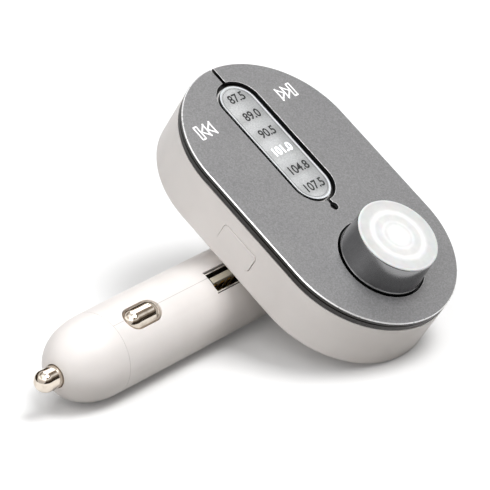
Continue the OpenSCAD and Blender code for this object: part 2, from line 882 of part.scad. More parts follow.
// Two leads from the power board round the hinge pin to the main board
module hinge_leads() {
    color("#b3272b") for (side = [-1, 1]) translate([0, side * lead_spread, 0]) {
        post(-lead_x, 0, lead_bend, z_board, lead_d / 2);
        translate([-lead_x - lead_bend, 0, lead_bend]) rotate([90, 0, 0])
            rotate([0, 0, 270]) rotate_extrude(angle = 90) translate([lead_bend, 0]) circle(d = lead_d);
        bar(lead_x + lead_bend, power_x0 + connector_gap, lead_d / 2);
    }
}

// Everything outside of the plug's two shells, in one piece
module plug_outside() {
    bar(shoulder_x, tail_x, barrel_r);
    taper(tail_x, seam_x, barrel_r, barrel_r - tail_draft);
    taper(0, shoulder_x, fork_r, barrel_r);
    intersection() {
        bar(-fork_r, 0, fork_r);
        cross(0, 0, -fork_r, fork_r, fork_r);
    }
}

module contact_window(side) {
    l = contact_x1 - contact_x0 + 2 * contact_gap;
    w = contact_w + 2 * contact_gap;
    translate([-contact_mid_x, 0, side > 0 ? contact_foot_z : -barrel_r - over]) rotate([0, 0, 90])
        linear_extrude(barrel_r + over - contact_foot_z) stadium(w, l);
}

module plug_shells() {
    end_y = fork_r - hinge_sink;
    opening = usb_l / 2 + usb_gap;
    difference() {
        union() {
            difference() {
                plug_outside();
                bar(cavity_x, seam_x + over, bore_r);
            }
            intersection() {
                cross(boss_x, 0, -bore_r - snug, boss_neck_y, boss_r);
                bar(cavity_x, seam_x, bore_r + snug);
            }
            intersection() {
                cross(boss_x, 0, boss_neck_y, bore_r + snug, boss_head_r);
                bar(cavity_x, seam_x, bore_r + snug);
            }
        }
        block([-slot_x, -slot_half, -barrel_r - over], [barrel_r + over, slot_half, barrel_r + over]);
        cross(0, 0, -barrel_r, barrel_r, hinge_d / 2 + shank_gap);
        for (side = [-1, 1]) translate([0, side * (end_y + over / 2 - hinge_head_t / 2), 0])
            cross(0, 0, -(hinge_head_t + over) / 2, (hinge_head_t + over) / 2, hinge_head_r + hinge_seat_gap);
        bar(slot_x - over, cavity_x + over, lead_hole_r);
        block([-usb_x - opening, -usb_edge_y - usb_gap, 0], [opening - usb_x, power_y + usb_gap, barrel_r + over]);
        for (side = [-1, 1]) contact_window(side);
        cross(boss_x, 0, -plug_screw_in - shank_gap, barrel_r + over, screw_r + shank_gap);
        cross(boss_x, 0, boss_seat_y, barrel_r + over, screw_head_r + screw_head_gap);
    }
}

// One shell: the half of the plug on one side of the parting plane
module plug_shell(side) {
    color("#efebe8") intersection() {
        plug_shells();
        block([-seam_x - over, side > 0 ? parting_y : -barrel_r - over, -barrel_r - over],
            [barrel_r + over, side > 0 ? barrel_r + over : parting_y, barrel_r + over]);
    }
}

module plug_screw() {
    color("#b9bbbe") {
        cross(boss_x, 0, -plug_screw_in, boss_seat_y, screw_r);
        cross(boss_x, 0, boss_seat_y, boss_seat_y + plug_screw_head_t, screw_head_r);
    }
}

// Radius of the nose at the share t of its length
function nose_r(t) = nose_end_r
    + (barrel_r - tail_draft - nose_end_r) * pow(max(0, 1 - pow(t, nose_full)), 1 / nose_blunt);

module nose_cap() {
    shares = [for (i = [0 : nose_steps]) sin(90 * i / nose_steps)];
    color("#efebe8") translate([-seam_x, 0, 0]) rotate([0, -90, 0]) difference() {
        union() {
            rotate_extrude() polygon(concat([[0, 0]], [for (t = shares) [nose_r(t), nose_l * t]], [[0, nose_l]]));
            translate([0, 0, -spigot_l]) cylinder(r = bore_r - snug, h = spigot_l);
        }
        translate([0, 0, -spigot_l - over]) cylinder(r = bore_r - spigot_wall, h = spigot_l + nose_room + over);
        cylinder(r = pin_flange_r + pin_flange_gap, h = nose_l - nose_end_wall);
        cylinder(r = nose_hole_r, h = nose_l + over);
    }
}

// Spring-loaded centre pin with its flange behind the nose
module centre_pin() {
    r = pin_d / 2;
    color("#d8d2c8") {
        bar(fuse_x1, pin_stop_x, pin_flange_r);
        bar(pin_stop_x, nose_x + pin_out - r, r);
        translate([-(nose_x + pin_out - r), 0, 0]) sphere(r = r);
    }
}

module fuse_tube() {
    color("#dfe6e2", 0.5) difference() {
        bar(fuse_x0 + fuse_cap_t, fuse_x1 - fuse_cap_t, fuse_r - fuse_cap_t - shank_gap);
        bar(fuse_x0, fuse_x1, fuse_r / 2);
    }
}

module fuse_caps() {
    color("#c8c9cb") for (d = [fuse_x0, fuse_x1 - fuse_cap_l]) difference() {
        bar(d, d + fuse_cap_l, fuse_r);
        bar(max(d, fuse_x0 + fuse_cap_t), min(d + fuse_cap_l, fuse_x1 - fuse_cap_t), fuse_r - fuse_cap_t);
    }
}

module pin_spring() {
    from = holder_x0 + contact_plate_t;
    color("#b9bbbe") translate([-from, 0, 0]) rotate([0, -90, 0])
        coil(pin_spring_wire, pin_spring_r, pin_spring_turns, fuse_x0 - from);
}

module fuse_holder() {
    color("#e8e4da") difference() {
        union() {
            bar(holder_x0, holder_x1, holder_r);
            bar(holder_x0, holder_x0 + holder_flange_t, bore_r - snug);
        }
        bar(holder_x0 - over, holder_x1 + over, fuse_r + holder_gap);
    }
}

module fuse_contact() {
    color("#c8a85a") {
        bar(holder_x0, holder_x0 + contact_plate_t, fuse_r + holder_gap - snug);
        block([-holder_x0 - contact_plate_t, power_y - contact_plate_t, -tab_half],
            [tab_l - holder_x0, power_y, tab_half]);
    }
}

// Side contact: round-backed bar with ball ends on a flange that the barrel holds in
module side_contact() {
    l = contact_x1 - contact_x0;
    color("#d8d2c8") translate([-contact_mid_x, 0, 0]) difference() {
        union() {
            for (side = [-1, 1]) translate([side * (l / 2 - contact_r), 0, contact_z]) sphere(r = contact_r);
            translate([-(l / 2 - contact_r), 0, contact_z]) rotate([0, 90, 0])
                cylinder(r = contact_r, h = l - 2 * contact_r);
            translate([0, 0, contact_foot_z]) rotate([0, 0, 90])
                linear_extrude(contact_z - contact_foot_z) stadium(contact_w, l);
            translate([0, 0, contact_foot_z]) rotate([0, 0, 90])
                linear_extrude(contact_flange_t) stadium(2 * contact_flange_half, l + 2 * contact_flange);
        }
        block([-l, -barrel_r, 0], [l, barrel_r, contact_foot_z]);
    }
}

module contact_spring() {
    color("#b9bbbe") translate([-contact_mid_x, 0, holder_r])
        coil(side_spring_wire, side_spring_r, side_spring_turns, contact_foot_z - holder_r);
}

// Power board on its edge in the barrel, with the parts on its two faces
module power_board() {
    color("#1f6b3b") difference() {
        block([-power_x1, power_y, -power_half], [-power_x0, power_y + power_t, power_half]);
        cross(boss_x, 0, power_y - over, power_y + power_t + over, boss_r + boss_gap);
    }
}

connector_gap = 1;
connector_size = [4, 3.4, 5.2];
module lead_connector() {
    color("#f0ece0") block([-power_x0 - connector_gap - connector_size.x, power_y - connector_size.y,
        -connector_size.z / 2], [-power_x0 - connector_gap, power_y, connector_size.z / 2]);
}

inductor_size = [6.5, 3.6, 6.5];
module inductor() {
    color("#3a3b3e") block([-usb_x - inductor_size.x / 2, power_y + power_t, -inductor_size.z / 2],
        [inductor_size.x / 2 - usb_x, power_y + power_t + inductor_size.y, inductor_size.z / 2]);
}

power_cap_r = 2.5;
power_cap_h = 5;
power_cap_z = 3.3;
module power_capacitors() {
    color("#2b3350") for (side = [-1, 1])
        cross(power_x1 - power_cap_r - tab_half, side * power_cap_z, power_y - power_cap_h, power_y, power_cap_r);
}

chip_size = [4, 1.4, 5];
module power_chips() {
    color("#222326") for (d = [power_x0 + chip_size.x, power_x1 - chip_size.x])
        block([-d - chip_size.x / 2, power_y + power_t, -chip_size.z / 2],
            [chip_size.x / 2 - d, power_y + power_t + chip_size.y, chip_size.z / 2]);
}

// USB port: metal shell, insulating tongue and four contacts
module usb_shell() {
    color("#cfcac2") translate([-usb_x, -usb_shift, 0]) difference() {
        block([-usb_l / 2, -usb_w / 2, usb_floor], [usb_l / 2, usb_w / 2, usb_top]);
        block([usb_wall - usb_l / 2, usb_wall - usb_w / 2, usb_floor + usb_wall],
            [usb_l / 2 - usb_wall, usb_w / 2 - usb_wall, usb_top + over]);
    }
}

module usb_tongue() {
    side = usb_l / 2 - usb_wall - snug;
    half = usb_w / 2 - usb_wall - snug;
    z0 = usb_floor + usb_wall;
    color("#ece3cc") translate([-usb_x, -usb_shift, 0]) {
        block([-side, -half, z0], [side, half, z0 + usb_base]);
        block([tongue_side - side, tongue_off - tongue_t / 2, z0 + usb_base],
            [side - tongue_side, tongue_off + tongue_t / 2, usb_top - tongue_sink]);
    }
}

module usb_contacts() {
    y = tongue_off - tongue_t / 2;
    color("#d9b65a") translate([-usb_x, -usb_shift, 0]) for (i = [0 : usb_contact_n - 1])
        translate([(i - (usb_contact_n - 1) / 2) * usb_contact_pitch, 0, 0])
            block([-usb_contact_w / 2, y - usb_contact_t, usb_floor + usb_wall + usb_base],
                [usb_contact_w / 2, y, usb_top - tongue_sink - usb_contact_sink]);
}

rest() rear_housing();
rest() trim_ring();
rest() face_plate();
rest() key(-1);  // prev_key
rest() key(1);  // next_key
rest() key_plunger(-1);  // prev_plunger
rest() key_plunger(1);  // next_plunger
rest() key_switches();
rest() scale_lens();
rest() scale_film();
rest() light_guide();
rest() scale_leds();
rest() inner_frame();
rest() frame_screws();
rest() main_board();
rest() shield_can();
rest() head_chips();
rest() head_capacitors();
rest() crystal();
rest() mic_capsule();
rest() channel_button();
rest() channel_plunger();
rest() channel_switch();
rest() encoder_body();
rest() press_plunger();
rest() encoder_shaft();
rest() knob_core();
rest() knob_shell();
rest() knob_cap();
rest() hinge_lug();
rest() lug_screws();
rest() hinge_pin();
rest() hinge_washers();
rest() hinge_leads();
rest() plug_shell(-1);  // plug_shell_left
rest() plug_shell(1);  // plug_shell_right
rest() plug_screw();
rest() nose_cap();
rest() centre_pin();
rest() fuse_tube();
rest() fuse_caps();
rest() pin_spring();
rest() fuse_holder();
rest() fuse_contact();
rest() side_contact();  // side_contact_upper
rest() mirror([0, 0, 1]) side_contact();  // side_contact_lower
rest() contact_spring();  // contact_spring_upper
rest() mirror([0, 0, 1]) contact_spring();  // contact_spring_lower
rest() power_board();
rest() lead_connector();
rest() inductor();
rest() power_capacitors();
rest() power_chips();
rest() usb_shell();
rest() usb_tongue();
rest() usb_contacts();
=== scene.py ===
"""Looks of a car FM transmitter: a flat head with dial and knob, on a folding plug for a 12 V socket.

Shapes are drawn in millimetres in the head's own frame: x across the head, y along it, z out of its
face, with the hinge pin through the origin and the plug along -x. Stance turns that frame into the
packed one.
"""
import logging
import math
from collections.abc import Callable, Iterable
from dataclasses import dataclass, field, replace
from enum import Enum

import bmesh
import bpy
from bmesh.types import BMEdge, BMesh, BMVert
from bpy.types import ID, Material, Node, NodeSocket, NodeTree, Object
from mathutils import Matrix, Vector


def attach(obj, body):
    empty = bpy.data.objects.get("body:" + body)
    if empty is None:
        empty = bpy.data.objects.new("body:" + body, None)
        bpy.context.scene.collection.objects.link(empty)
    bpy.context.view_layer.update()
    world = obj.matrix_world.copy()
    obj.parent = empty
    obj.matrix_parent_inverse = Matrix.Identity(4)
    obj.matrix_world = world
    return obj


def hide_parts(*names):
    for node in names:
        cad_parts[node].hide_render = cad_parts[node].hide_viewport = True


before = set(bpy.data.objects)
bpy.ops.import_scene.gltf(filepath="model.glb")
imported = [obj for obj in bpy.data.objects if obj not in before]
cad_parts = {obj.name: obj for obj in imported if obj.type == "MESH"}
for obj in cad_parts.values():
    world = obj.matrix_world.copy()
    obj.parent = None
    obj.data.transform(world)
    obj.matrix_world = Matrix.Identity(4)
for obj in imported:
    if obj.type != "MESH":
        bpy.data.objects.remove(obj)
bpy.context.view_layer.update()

log = logging.getLogger("transmitter")
Triple = tuple[float, float, float]
Colour = Triple
Pair = tuple[float, float]
MM = 0.001

# Screen colours run from 0 to 255, and linear white is all ones
FULL = 255.0
WHITE: Colour = (255, 255, 255)
LIT = (1.0, 1.0, 1.0, 1.0)

# The screen's brightness curve: end and slope of its straight part, then its lift and power
CURVE_KNEE, CURVE_SLOPE, CURVE_LIFT, CURVE_POWER = 0.04045, 12.92, 0.055, 2.4

# Most of a noise's values lie in this band, and it has few, some or many finer octaves
NOISE_BAND: Pair = (0.3, 0.7)
FEW, SOME, MANY = 2, 3, 4

# Places of a Mix node's colour sockets: share, first and second colour, then the result
MIX_INPUTS, MIX_RESULT = (0, 6, 7), 2


def linear(colour: Colour) -> tuple[float, float, float, float]:
    """Turn a screen colour into the renderer's linear one.

    Args:
        colour: red, green and blue from 0 to 255, as seen on a screen.

    Returns:
        Linear red, green, blue and a full alpha.
    """
    parts = [c / FULL for c in colour]
    red, green, blue = (p / CURVE_SLOPE if p <= CURVE_KNEE
                        else ((p + CURVE_LIFT) / (1 + CURVE_LIFT)) ** CURVE_POWER for p in parts)
    return red, green, blue, 1.0


def shades(colour: Colour, spread: float) -> tuple[Colour, Colour]:
    """Return a darker and a lighter shade of a colour.

    Args:
        colour: the colour between them.
        spread: share by which each shade differs from it.

    Returns:
        The darker shade and the lighter one, which is white at most.
    """
    darker = tuple(c * (1 - spread) for c in colour)
    lighter = tuple(min(FULL, c * (1 + spread)) for c in colour)
    return darker, lighter


@dataclass(frozen=True)
class Stance:
    """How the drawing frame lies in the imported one: leaned until the head's edge meets the floor."""

    head_half: float = 41.25
    back_level: float = 13.35
    back_round: float = 1.2
    barrel_r: float = 10.35
    shoulder: float = 12.0

    def lean(self) -> float:
        """Work out how far the part leans about the plug's axis.

        Returns:
            The lean, in radians.
        """
        edge_y = self.head_half - self.back_round
        edge_z = self.back_level + self.back_round
        reach = math.hypot(edge_y, edge_z)
        return math.acos((self.back_round - self.barrel_r) / reach) - math.atan2(edge_y, edge_z)

    def matrix(self) -> Matrix:
        """Return the transform from the drawing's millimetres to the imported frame's metres."""
        shift = Matrix.Translation((self.shoulder * MM, 0, 0))
        return shift @ Matrix.Rotation(self.lean(), 4, "X") @ Matrix.Scale(MM, 4)

    def floor(self) -> float:
        """Return the floor's height, in metres."""
        return -self.barrel_r * MM


STANCE = Stance()


@dataclass(frozen=True)
class Spot:
    """Where a pattern is centred in the head's frame, in millimetres, and how it is stretched."""

    x: float = 0.0
    y: float = 0.0
    z: float = 0.0
    stretch: Triple = (1.0, 1.0, 1.0)


class Graph:
    """Node tree with short calls for the nodes that the finishes and the light all round share."""

    def __init__(self, tree: NodeTree) -> None:
        """Keep the tree at hand.

        Args:
            tree: the tree that the nodes go into.
        """
        self.tree = tree

    def add(self, kind: str, **settings: object) -> Node:
        """Add a node.

        Args:
            kind: the node's class, without the leading ShaderNode.
            settings: attributes to set on it.

        Returns:
            The new node.
        """
        node = self.tree.nodes.new("ShaderNode" + kind)
        for name, value in settings.items():
            setattr(node, name, value)
        return node

    def feed(self, node: Node, name: str | int, value: object) -> None:
        """Give a socket a link or a constant.

        Args:
            node: the node that has the socket.
            name: the socket's name or place.
            value: another node's output, or a number, colour or vector.
        """
        if isinstance(value, NodeSocket):
            self.tree.links.new(value, node.inputs[name])
        else:
            node.inputs[name].default_value = value

    def place(self, spot: Spot = Spot()) -> NodeSocket:
        """Return object coordinates in the head's frame, in metres.

        Args:
            spot: where they are centred, and how they are stretched.

        Returns:
            The coordinates.
        """
        mapping = self.add("Mapping", vector_type="POINT")
        self.feed(mapping, "Vector", self.add("TexCoord").outputs["Object"])
        self.feed(mapping, "Rotation", (-STANCE.lean(), 0, 0))
        self.feed(mapping, "Location", (-(STANCE.shoulder + spot.x) * MM, -spot.y * MM, -spot.z * MM))
        if spot.stretch == Spot.stretch:
            return mapping.outputs["Vector"]
        scaled = self.add("VectorMath", operation="MULTIPLY")
        self.feed(scaled, 0, mapping.outputs["Vector"])
        self.feed(scaled, 1, spot.stretch)
        return scaled.outputs["Vector"]

    def parts(self, at: NodeSocket) -> list[NodeSocket]:
        """Split a vector.

        Args:
            at: the vector.

        Returns:
            Its three parts.
        """
        node = self.add("SeparateXYZ")
        self.feed(node, 0, at)
        return list(node.outputs)

    def noise(self, at: NodeSocket, size: float, detail: float = FEW) -> NodeSocket:
        """Return soft noise from 0 to 1.

        Args:
            at: the coordinates.
            size: size of a blotch, in millimetres.
            detail: number of finer octaves.

        Returns:
            The noise's factor.
        """
        node = self.add("TexNoise")
        self.feed(node, "Vector", at)
        self.feed(node, "Scale", 1 / (size * MM))
        self.feed(node, "Detail", detail)
        return node.outputs["Fac"]

    def cells(self, at: NodeSocket, size: float, feature: str = "F1") -> Node:
        """Return a cell pattern's node.

        Args:
            at: the coordinates.
            size: size of a cell, in millimetres.
            feature: what is measured in each cell.

        Returns:
            The Voronoi node.
        """
        node = self.add("TexVoronoi", feature=feature)
        self.feed(node, "Vector", at)
        self.feed(node, "Scale", 1 / (size * MM))
        return node

    def ramp(self, fac: NodeSocket, stops: Iterable[tuple[float, Colour]],
             ease: bool = False) -> NodeSocket:
        """Return a colour read from stops.

        Args:
            fac: where to read, from 0 to 1.
            stops: places with their screen colours, in order.
            ease: blend the stops softly instead of in straight lines.

        Returns:
            The colour.
        """
        node = self.add("ValToRGB")
        elements = node.color_ramp.elements
        node.color_ramp.interpolation = "EASE" if ease else "LINEAR"
        wanted = list(stops)
        while len(elements) < len(wanted):
            elements.new(0.5)
        for element, (place, colour) in zip(elements, wanted):
            element.position = place
            element.color = linear(colour)
        self.feed(node, "Fac", fac)
        return node.outputs["Color"]

    def span(self, value: NodeSocket, low: float, high: float, to_low: float,
             to_high: float) -> NodeSocket:
        """Return a value moved from one range to another, and held inside it.

        Args:
            value: the value.
            low: start of the range that it comes from.
            high: end of that range.
            to_low: what the start becomes.
            to_high: what the end becomes.

        Returns:
            The moved value.
        """
        node = self.add("MapRange")
        ends = {"From Min": low, "From Max": high, "To Min": to_low, "To Max": to_high}
        for name, end in ends.items():
            self.feed(node, name, end)
        self.feed(node, "Value", value)
        return node.outputs["Result"]

    def uneven(self, at: NodeSocket, size: float, detail: float, low: float, high: float,
               band: Pair = NOISE_BAND) -> NodeSocket:
        """Return a value that drifts with soft noise.

        Args:
            at: the coordinates.
            size: size of a blotch, in millimetres.
            detail: number of finer octaves.
            low: the value where the noise is lowest.
            high: the value where it is highest.
            band: the noise's values at which these two are reached.

        Returns:
            The drifting value.
        """
        return self.span(self.noise(at, size, detail), *band, low, high)

    def mottle(self, at: NodeSocket, size: float, detail: float, low: Colour, high: Colour = WHITE,
               band: Pair = NOISE_BAND) -> NodeSocket:
        """Return a colour that drifts with soft noise.

        Args:
            at: the coordinates.
            size: size of a blotch, in millimetres.
            detail: number of finer octaves.
            low: the colour where the noise is lowest.
            high: the colour where it is highest.
            band: the noise's values at which these two are reached.

        Returns:
            The drifting colour.
        """
        return self.ramp(self.noise(at, size, detail), zip(band, (low, high)))

    def sum(self, operation: str, first: NodeSocket | float,
            second: NodeSocket | float = 0.0) -> NodeSocket:
        """Return the result of one arithmetic operation.

        Args:
            operation: the operation's name.
            first: a value or a link.
            second: a value or a link, where the operation takes two.

        Returns:
            The result.
        """
        node = self.add("Math", operation=operation)
        self.feed(node, 0, first)
        self.feed(node, 1, second)
        return node.outputs["Value"]

    def blend(self, fac: NodeSocket | float, first: object, second: object,
              kind: str = "MIX") -> NodeSocket:
        """Return two colours mixed.

        Args:
            fac: share of the second colour.
            first: a colour or a link.
            second: a colour or a link.
            kind: how they are mixed.

        Returns:
            The mixed colour.
        """
        node = self.add("Mix", data_type="RGBA", blend_type=kind)
        for place, value in zip(MIX_INPUTS, (fac, first, second)):
            self.feed(node, place, value)
        return node.outputs[MIX_RESULT]

    def times(self, first: object, second: object) -> NodeSocket:
        """Return two colours multiplied."""
        return self.blend(1.0, first, second, "MULTIPLY")

    def radius(self, at: NodeSocket) -> NodeSocket:
        """Return how far coordinates lie from their axis out of the face.

        Args:
            at: the coordinates.

        Returns:
            The distance, in metres.
        """
        across, along, _ = self.parts(at)
        flat = self.add("CombineXYZ")
        self.feed(flat, 0, across)
        self.feed(flat, 1, along)
        length = self.add("VectorMath", operation="LENGTH")
        self.feed(length, 0, flat.outputs[0])
        return length.outputs["Value"]

    def shown(self) -> NodeSocket:
        """Tell rays that see the background from those that light the object.

        Returns:
            1 for camera, glossy and transmitted rays, and 0 for others.
        """
        rays = self.add("LightPath")
        seen = self.sum("MAXIMUM", rays.outputs["Is Camera Ray"], rays.outputs["Is Glossy Ray"])
        return self.sum("MAXIMUM", seen, rays.outputs["Is Transmission Ray"])


class Finish(Graph):
    """Node tree of one material, round its principled shader."""

    def __init__(self, name: str) -> None:
        """Start a material.

        Args:
            name: the material's name.
        """
        self.material: Material = bpy.data.materials.new(name)
        self.material.use_nodes = True
        super().__init__(self.material.node_tree)
        self.shader: Node = self.tree.nodes["Principled BSDF"]
        self.output: Node = self.tree.nodes["Material Output"]

    def set(self, **values: object) -> None:
        """Set sockets of the principled shader; an underscore stands for a space.

        Args:
            values: socket names with their links or constants.
        """
        for name, value in values.items():
            self.feed(self.shader, name.replace("_", " "), value)

    def bump(self, height: NodeSocket, depth: float) -> None:
        """Give the shader small relief.

        Args:
            height: the relief, from 0 to 1.
            depth: its depth, in millimetres.
        """
        node = self.add("Bump")
        self.feed(node, "Height", height)
        self.feed(node, "Distance", depth * MM)
        self.set(Normal=node.outputs["Normal"])


@dataclass(frozen=True)
class Seam:
    """A faint line on a moulding: the number of the axis that it crosses, its place and strength."""

    axis: int
    place: float
    strength: float


@dataclass(frozen=True)
class Moulded:
    """Moulded plastic: faint clouds in its colour, a fine spark-eroded grain and uneven gloss."""

    name: str
    colour: Colour
    rough: float = 0.42
    cloud: float = 9.0
    drift: float = 0.03
    grain: float = 0.16
    relief: float = 0.004
    coat: float = 0.0
    depth: float = 0.0
    seams: tuple[Seam, ...] = ()
    seam_colour: Colour = (172, 166, 161)
    seam_w: Pair = (0.02, 0.1)
    speck_size: float = 2.5
    speck_share: float = 1.6
    speck_band: Pair = (0.35, 0.7)
    smear_share: float = 0.25
    gloss_drift: float = 0.05
    ior: float = 1.47
    coat_rough: float = 0.08
    bleed: float = 1.2
    bleed_colour: Triple = (1.0, 0.8, 0.7)

    def build(self) -> Material:
        """Build the finish.

        Returns:
            The finished material.
        """
        g = Finish(self.name)
        at = g.place()
        low, high = shades(self.colour, self.drift)
        base = g.mottle(at, self.cloud, SOME, low, high)
        specks = g.uneven(at, self.grain * self.speck_size, FEW, 0.0, self.drift * self.speck_share,
                          self.speck_band)
        base = g.blend(specks, base, linear(low), "MULTIPLY")
        near, far = (edge * MM for edge in self.seam_w)
        for seam in self.seams:
            off = g.sum("ABSOLUTE", g.sum("SUBTRACT", g.parts(at)[seam.axis], seam.place * MM))
            base = g.blend(g.span(off, near, far, seam.strength, 0.0), base, linear(self.seam_colour))
        rough = g.uneven(at, self.cloud * self.smear_share, MANY, self.rough - self.gloss_drift,
                         self.rough + self.gloss_drift)
        g.set(Base_Color=base, Roughness=rough, IOR=self.ior)
        if self.coat:
            g.set(Coat_Weight=self.coat, Coat_Roughness=self.coat_rough)
        if self.depth:
            g.set(Subsurface_Weight=self.depth, Subsurface_Scale=self.bleed * MM)
            g.set(Subsurface_Radius=self.bleed_colour)
        g.bump(g.noise(at, self.grain), self.relief)
        return g.material


@dataclass(frozen=True)
class FlakePaint:
    """Metallic lacquer: fine flakes of differing brightness under a satin coat."""

    name: str
    colour: Colour
    flake: float = 0.3
    spread: float = 0.07
    rough: float = 0.4
    metallic: float = 0.3
    cloud: float = 14.0
    cloud_colour: Colour = (246, 246, 247)
    smear: float = 1.2
    gloss_drift: Pair = (0.04, 0.05)
    coat: float = 0.15
    coat_rough: float = 0.2
    grain_share: float = 0.8
    relief: float = 0.004

    def build(self) -> Material:
        """Build the finish.

        Returns:
            The finished material.
        """
        g = Finish(self.name)
        at = g.place()
        tint = g.add("SeparateColor")
        g.feed(tint, 0, g.cells(at, self.flake).outputs["Color"])
        low, high = shades(self.colour, self.spread)
        sparkle = g.ramp(tint.outputs[0], [(0.0, low), (0.5, self.colour), (1.0, high)])
        clouds = g.mottle(at, self.cloud, SOME, self.cloud_colour)
        less, more = self.gloss_drift
        rough = g.uneven(at, self.smear, SOME, self.rough - less, self.rough + more)
        g.set(Base_Color=g.times(sparkle, clouds), Metallic=self.metallic, Roughness=rough)
        g.set(Coat_Weight=self.coat, Coat_Roughness=self.coat_rough)
        g.bump(g.noise(at, self.flake * self.grain_share), self.relief)
        return g.material


@dataclass(frozen=True)
class Metal:
    """Bare or plated metal: drawn lines along one way, faint stains and fine scratches."""

    name: str
    colour: Colour
    rough: float = 0.16
    stain: Colour = (168, 158, 146)
    stains: float = 0.25
    lines: Triple = (1.0, 1.0, 1.0)
    relief: float = 0.0015
    uneven: float = 1.0
    line_size: float = 0.25
    stain_size: float = 2.2
    stain_band: Pair = (0.48, 0.75)
    smear: float = 0.9
    smear_band: Pair = (0.3, 0.75)
    gloss_drift: Pair = (0.3, 0.5)

    def build(self) -> Material:
        """Build the finish.

        Returns:
            The finished material.
        """
        g = Finish(self.name)
        at = g.place()
        stained = g.uneven(at, self.stain_size, MANY, 0.0, self.stains, self.stain_band)
        less, more = (part * self.uneven for part in self.gloss_drift)
        rough = g.uneven(at, self.smear, MANY, self.rough * (1 - less), self.rough * (1 + more),
                         self.smear_band)
        base = g.blend(stained, linear(self.colour), linear(self.stain))
        g.set(Base_Color=base, Metallic=1.0, Roughness=rough)
        g.bump(g.noise(g.place(Spot(stretch=self.lines)), self.line_size, SOME), self.relief)
        return g.material


@dataclass(frozen=True)
class Clear:
    """Clear plastic or glass with a faint tint, fine dust and scratches in its gloss."""

    name: str
    colour: Colour = (250, 251, 252)
    rough: float = 0.04
    ior: float = 1.46
    drift: float = 0.015
    cloud: float = 5.0
    smear: float = 0.8
    smear_band: Pair = (0.45, 0.75)
    gloss_drift: float = 0.05

    def build(self) -> Material:
        """Build the finish, which lets the lamps' light through to what lies under it.

        Returns:
            The finished material.
        """
        g = Finish(self.name)
        at = g.place()
        darker, _ = shades(self.colour, self.drift)
        tint = g.mottle(at, self.cloud, FEW, darker, self.colour)
        rough = g.uneven(at, self.smear, MANY, self.rough, self.rough + self.gloss_drift,
                         self.smear_band)
        g.set(Base_Color=tint, Roughness=rough, Metallic=1.0)
        gloss = g.add("Fresnel")
        g.feed(gloss, "IOR", self.ior)
        through = g.add("BsdfTransparent")
        g.feed(through, "Color", tint)
        outside = g.sum("SUBTRACT", 1.0, g.add("NewGeometry").outputs["Backfacing"])
        mixed = g.add("MixShader")
        g.feed(mixed, 0, g.sum("MULTIPLY", gloss.outputs["Fac"], outside))
        g.feed(mixed, 1, through.outputs["BSDF"])
        g.feed(mixed, 2, g.shader.outputs["BSDF"])
        g.feed(g.output, "Surface", mixed.outputs[0])
        return g.material


@dataclass(frozen=True)
class Film:
    """Silver dial film: a fine satin print lit softly from behind, most at the lit frequency, and
    darkened across its width by painted shade.
    """

    name: str
    between: Colour = (222, 220, 217)
    at_figures: Colour = (242, 240, 237)
    lit_y: float = 14.21
    pitch: float = 5.9
    middle_y: float = 16.6
    half_w: float = 5.5
    # Painted shade across the film's width: white at one side, grey at the other
    painted_side_shade: tuple[Colour, ...] = (WHITE, (244, 244, 244), (204, 204, 204))
    grain: float = 0.36
    grain_colour: Colour = (222, 222, 222)
    cloud: float = 6.0
    cloud_colour: Colour = (246, 246, 247)
    lit_r: float = 5.2
    glow: Pair = (0.1, 0.04)
    rough: float = 0.45
    metallic: float = 0.1
    relief: float = 0.003
    relief_size: float = 0.2

    def build(self) -> Material:
        """Build the finish.

        Returns:
            The finished material.
        """
        g = Finish(self.name)
        at = g.place(Spot(y=self.middle_y))
        across, along, _ = g.parts(at)
        wave = g.sum("COSINE", g.sum("MULTIPLY", along, 2 * math.pi / (self.pitch * MM)))
        band = g.ramp(g.span(wave, -1, 1, 0, 1), [(0.0, self.between), (1.0, self.at_figures)], True)
        base = g.times(band, g.mottle(at, self.grain, SOME, self.grain_colour))
        base = g.times(base, g.mottle(at, self.cloud, SOME, self.cloud_colour))
        # Painted shade: the film darkens from one side to the other
        share = g.span(across, -self.half_w * MM, self.half_w * MM, 0, 1)
        base = g.times(base, g.ramp(share, zip((0.0, 0.5, 1.0), self.painted_side_shade)))
        away = g.radius(g.place(Spot(y=self.lit_y)))
        g.set(Base_Color=base, Roughness=self.rough, Metallic=self.metallic)
        g.set(Emission_Color=LIT, Emission_Strength=g.span(away, 0.0, self.lit_r * MM, *self.glow))
        g.bump(g.noise(at, self.relief_size), self.relief)
        return g.material


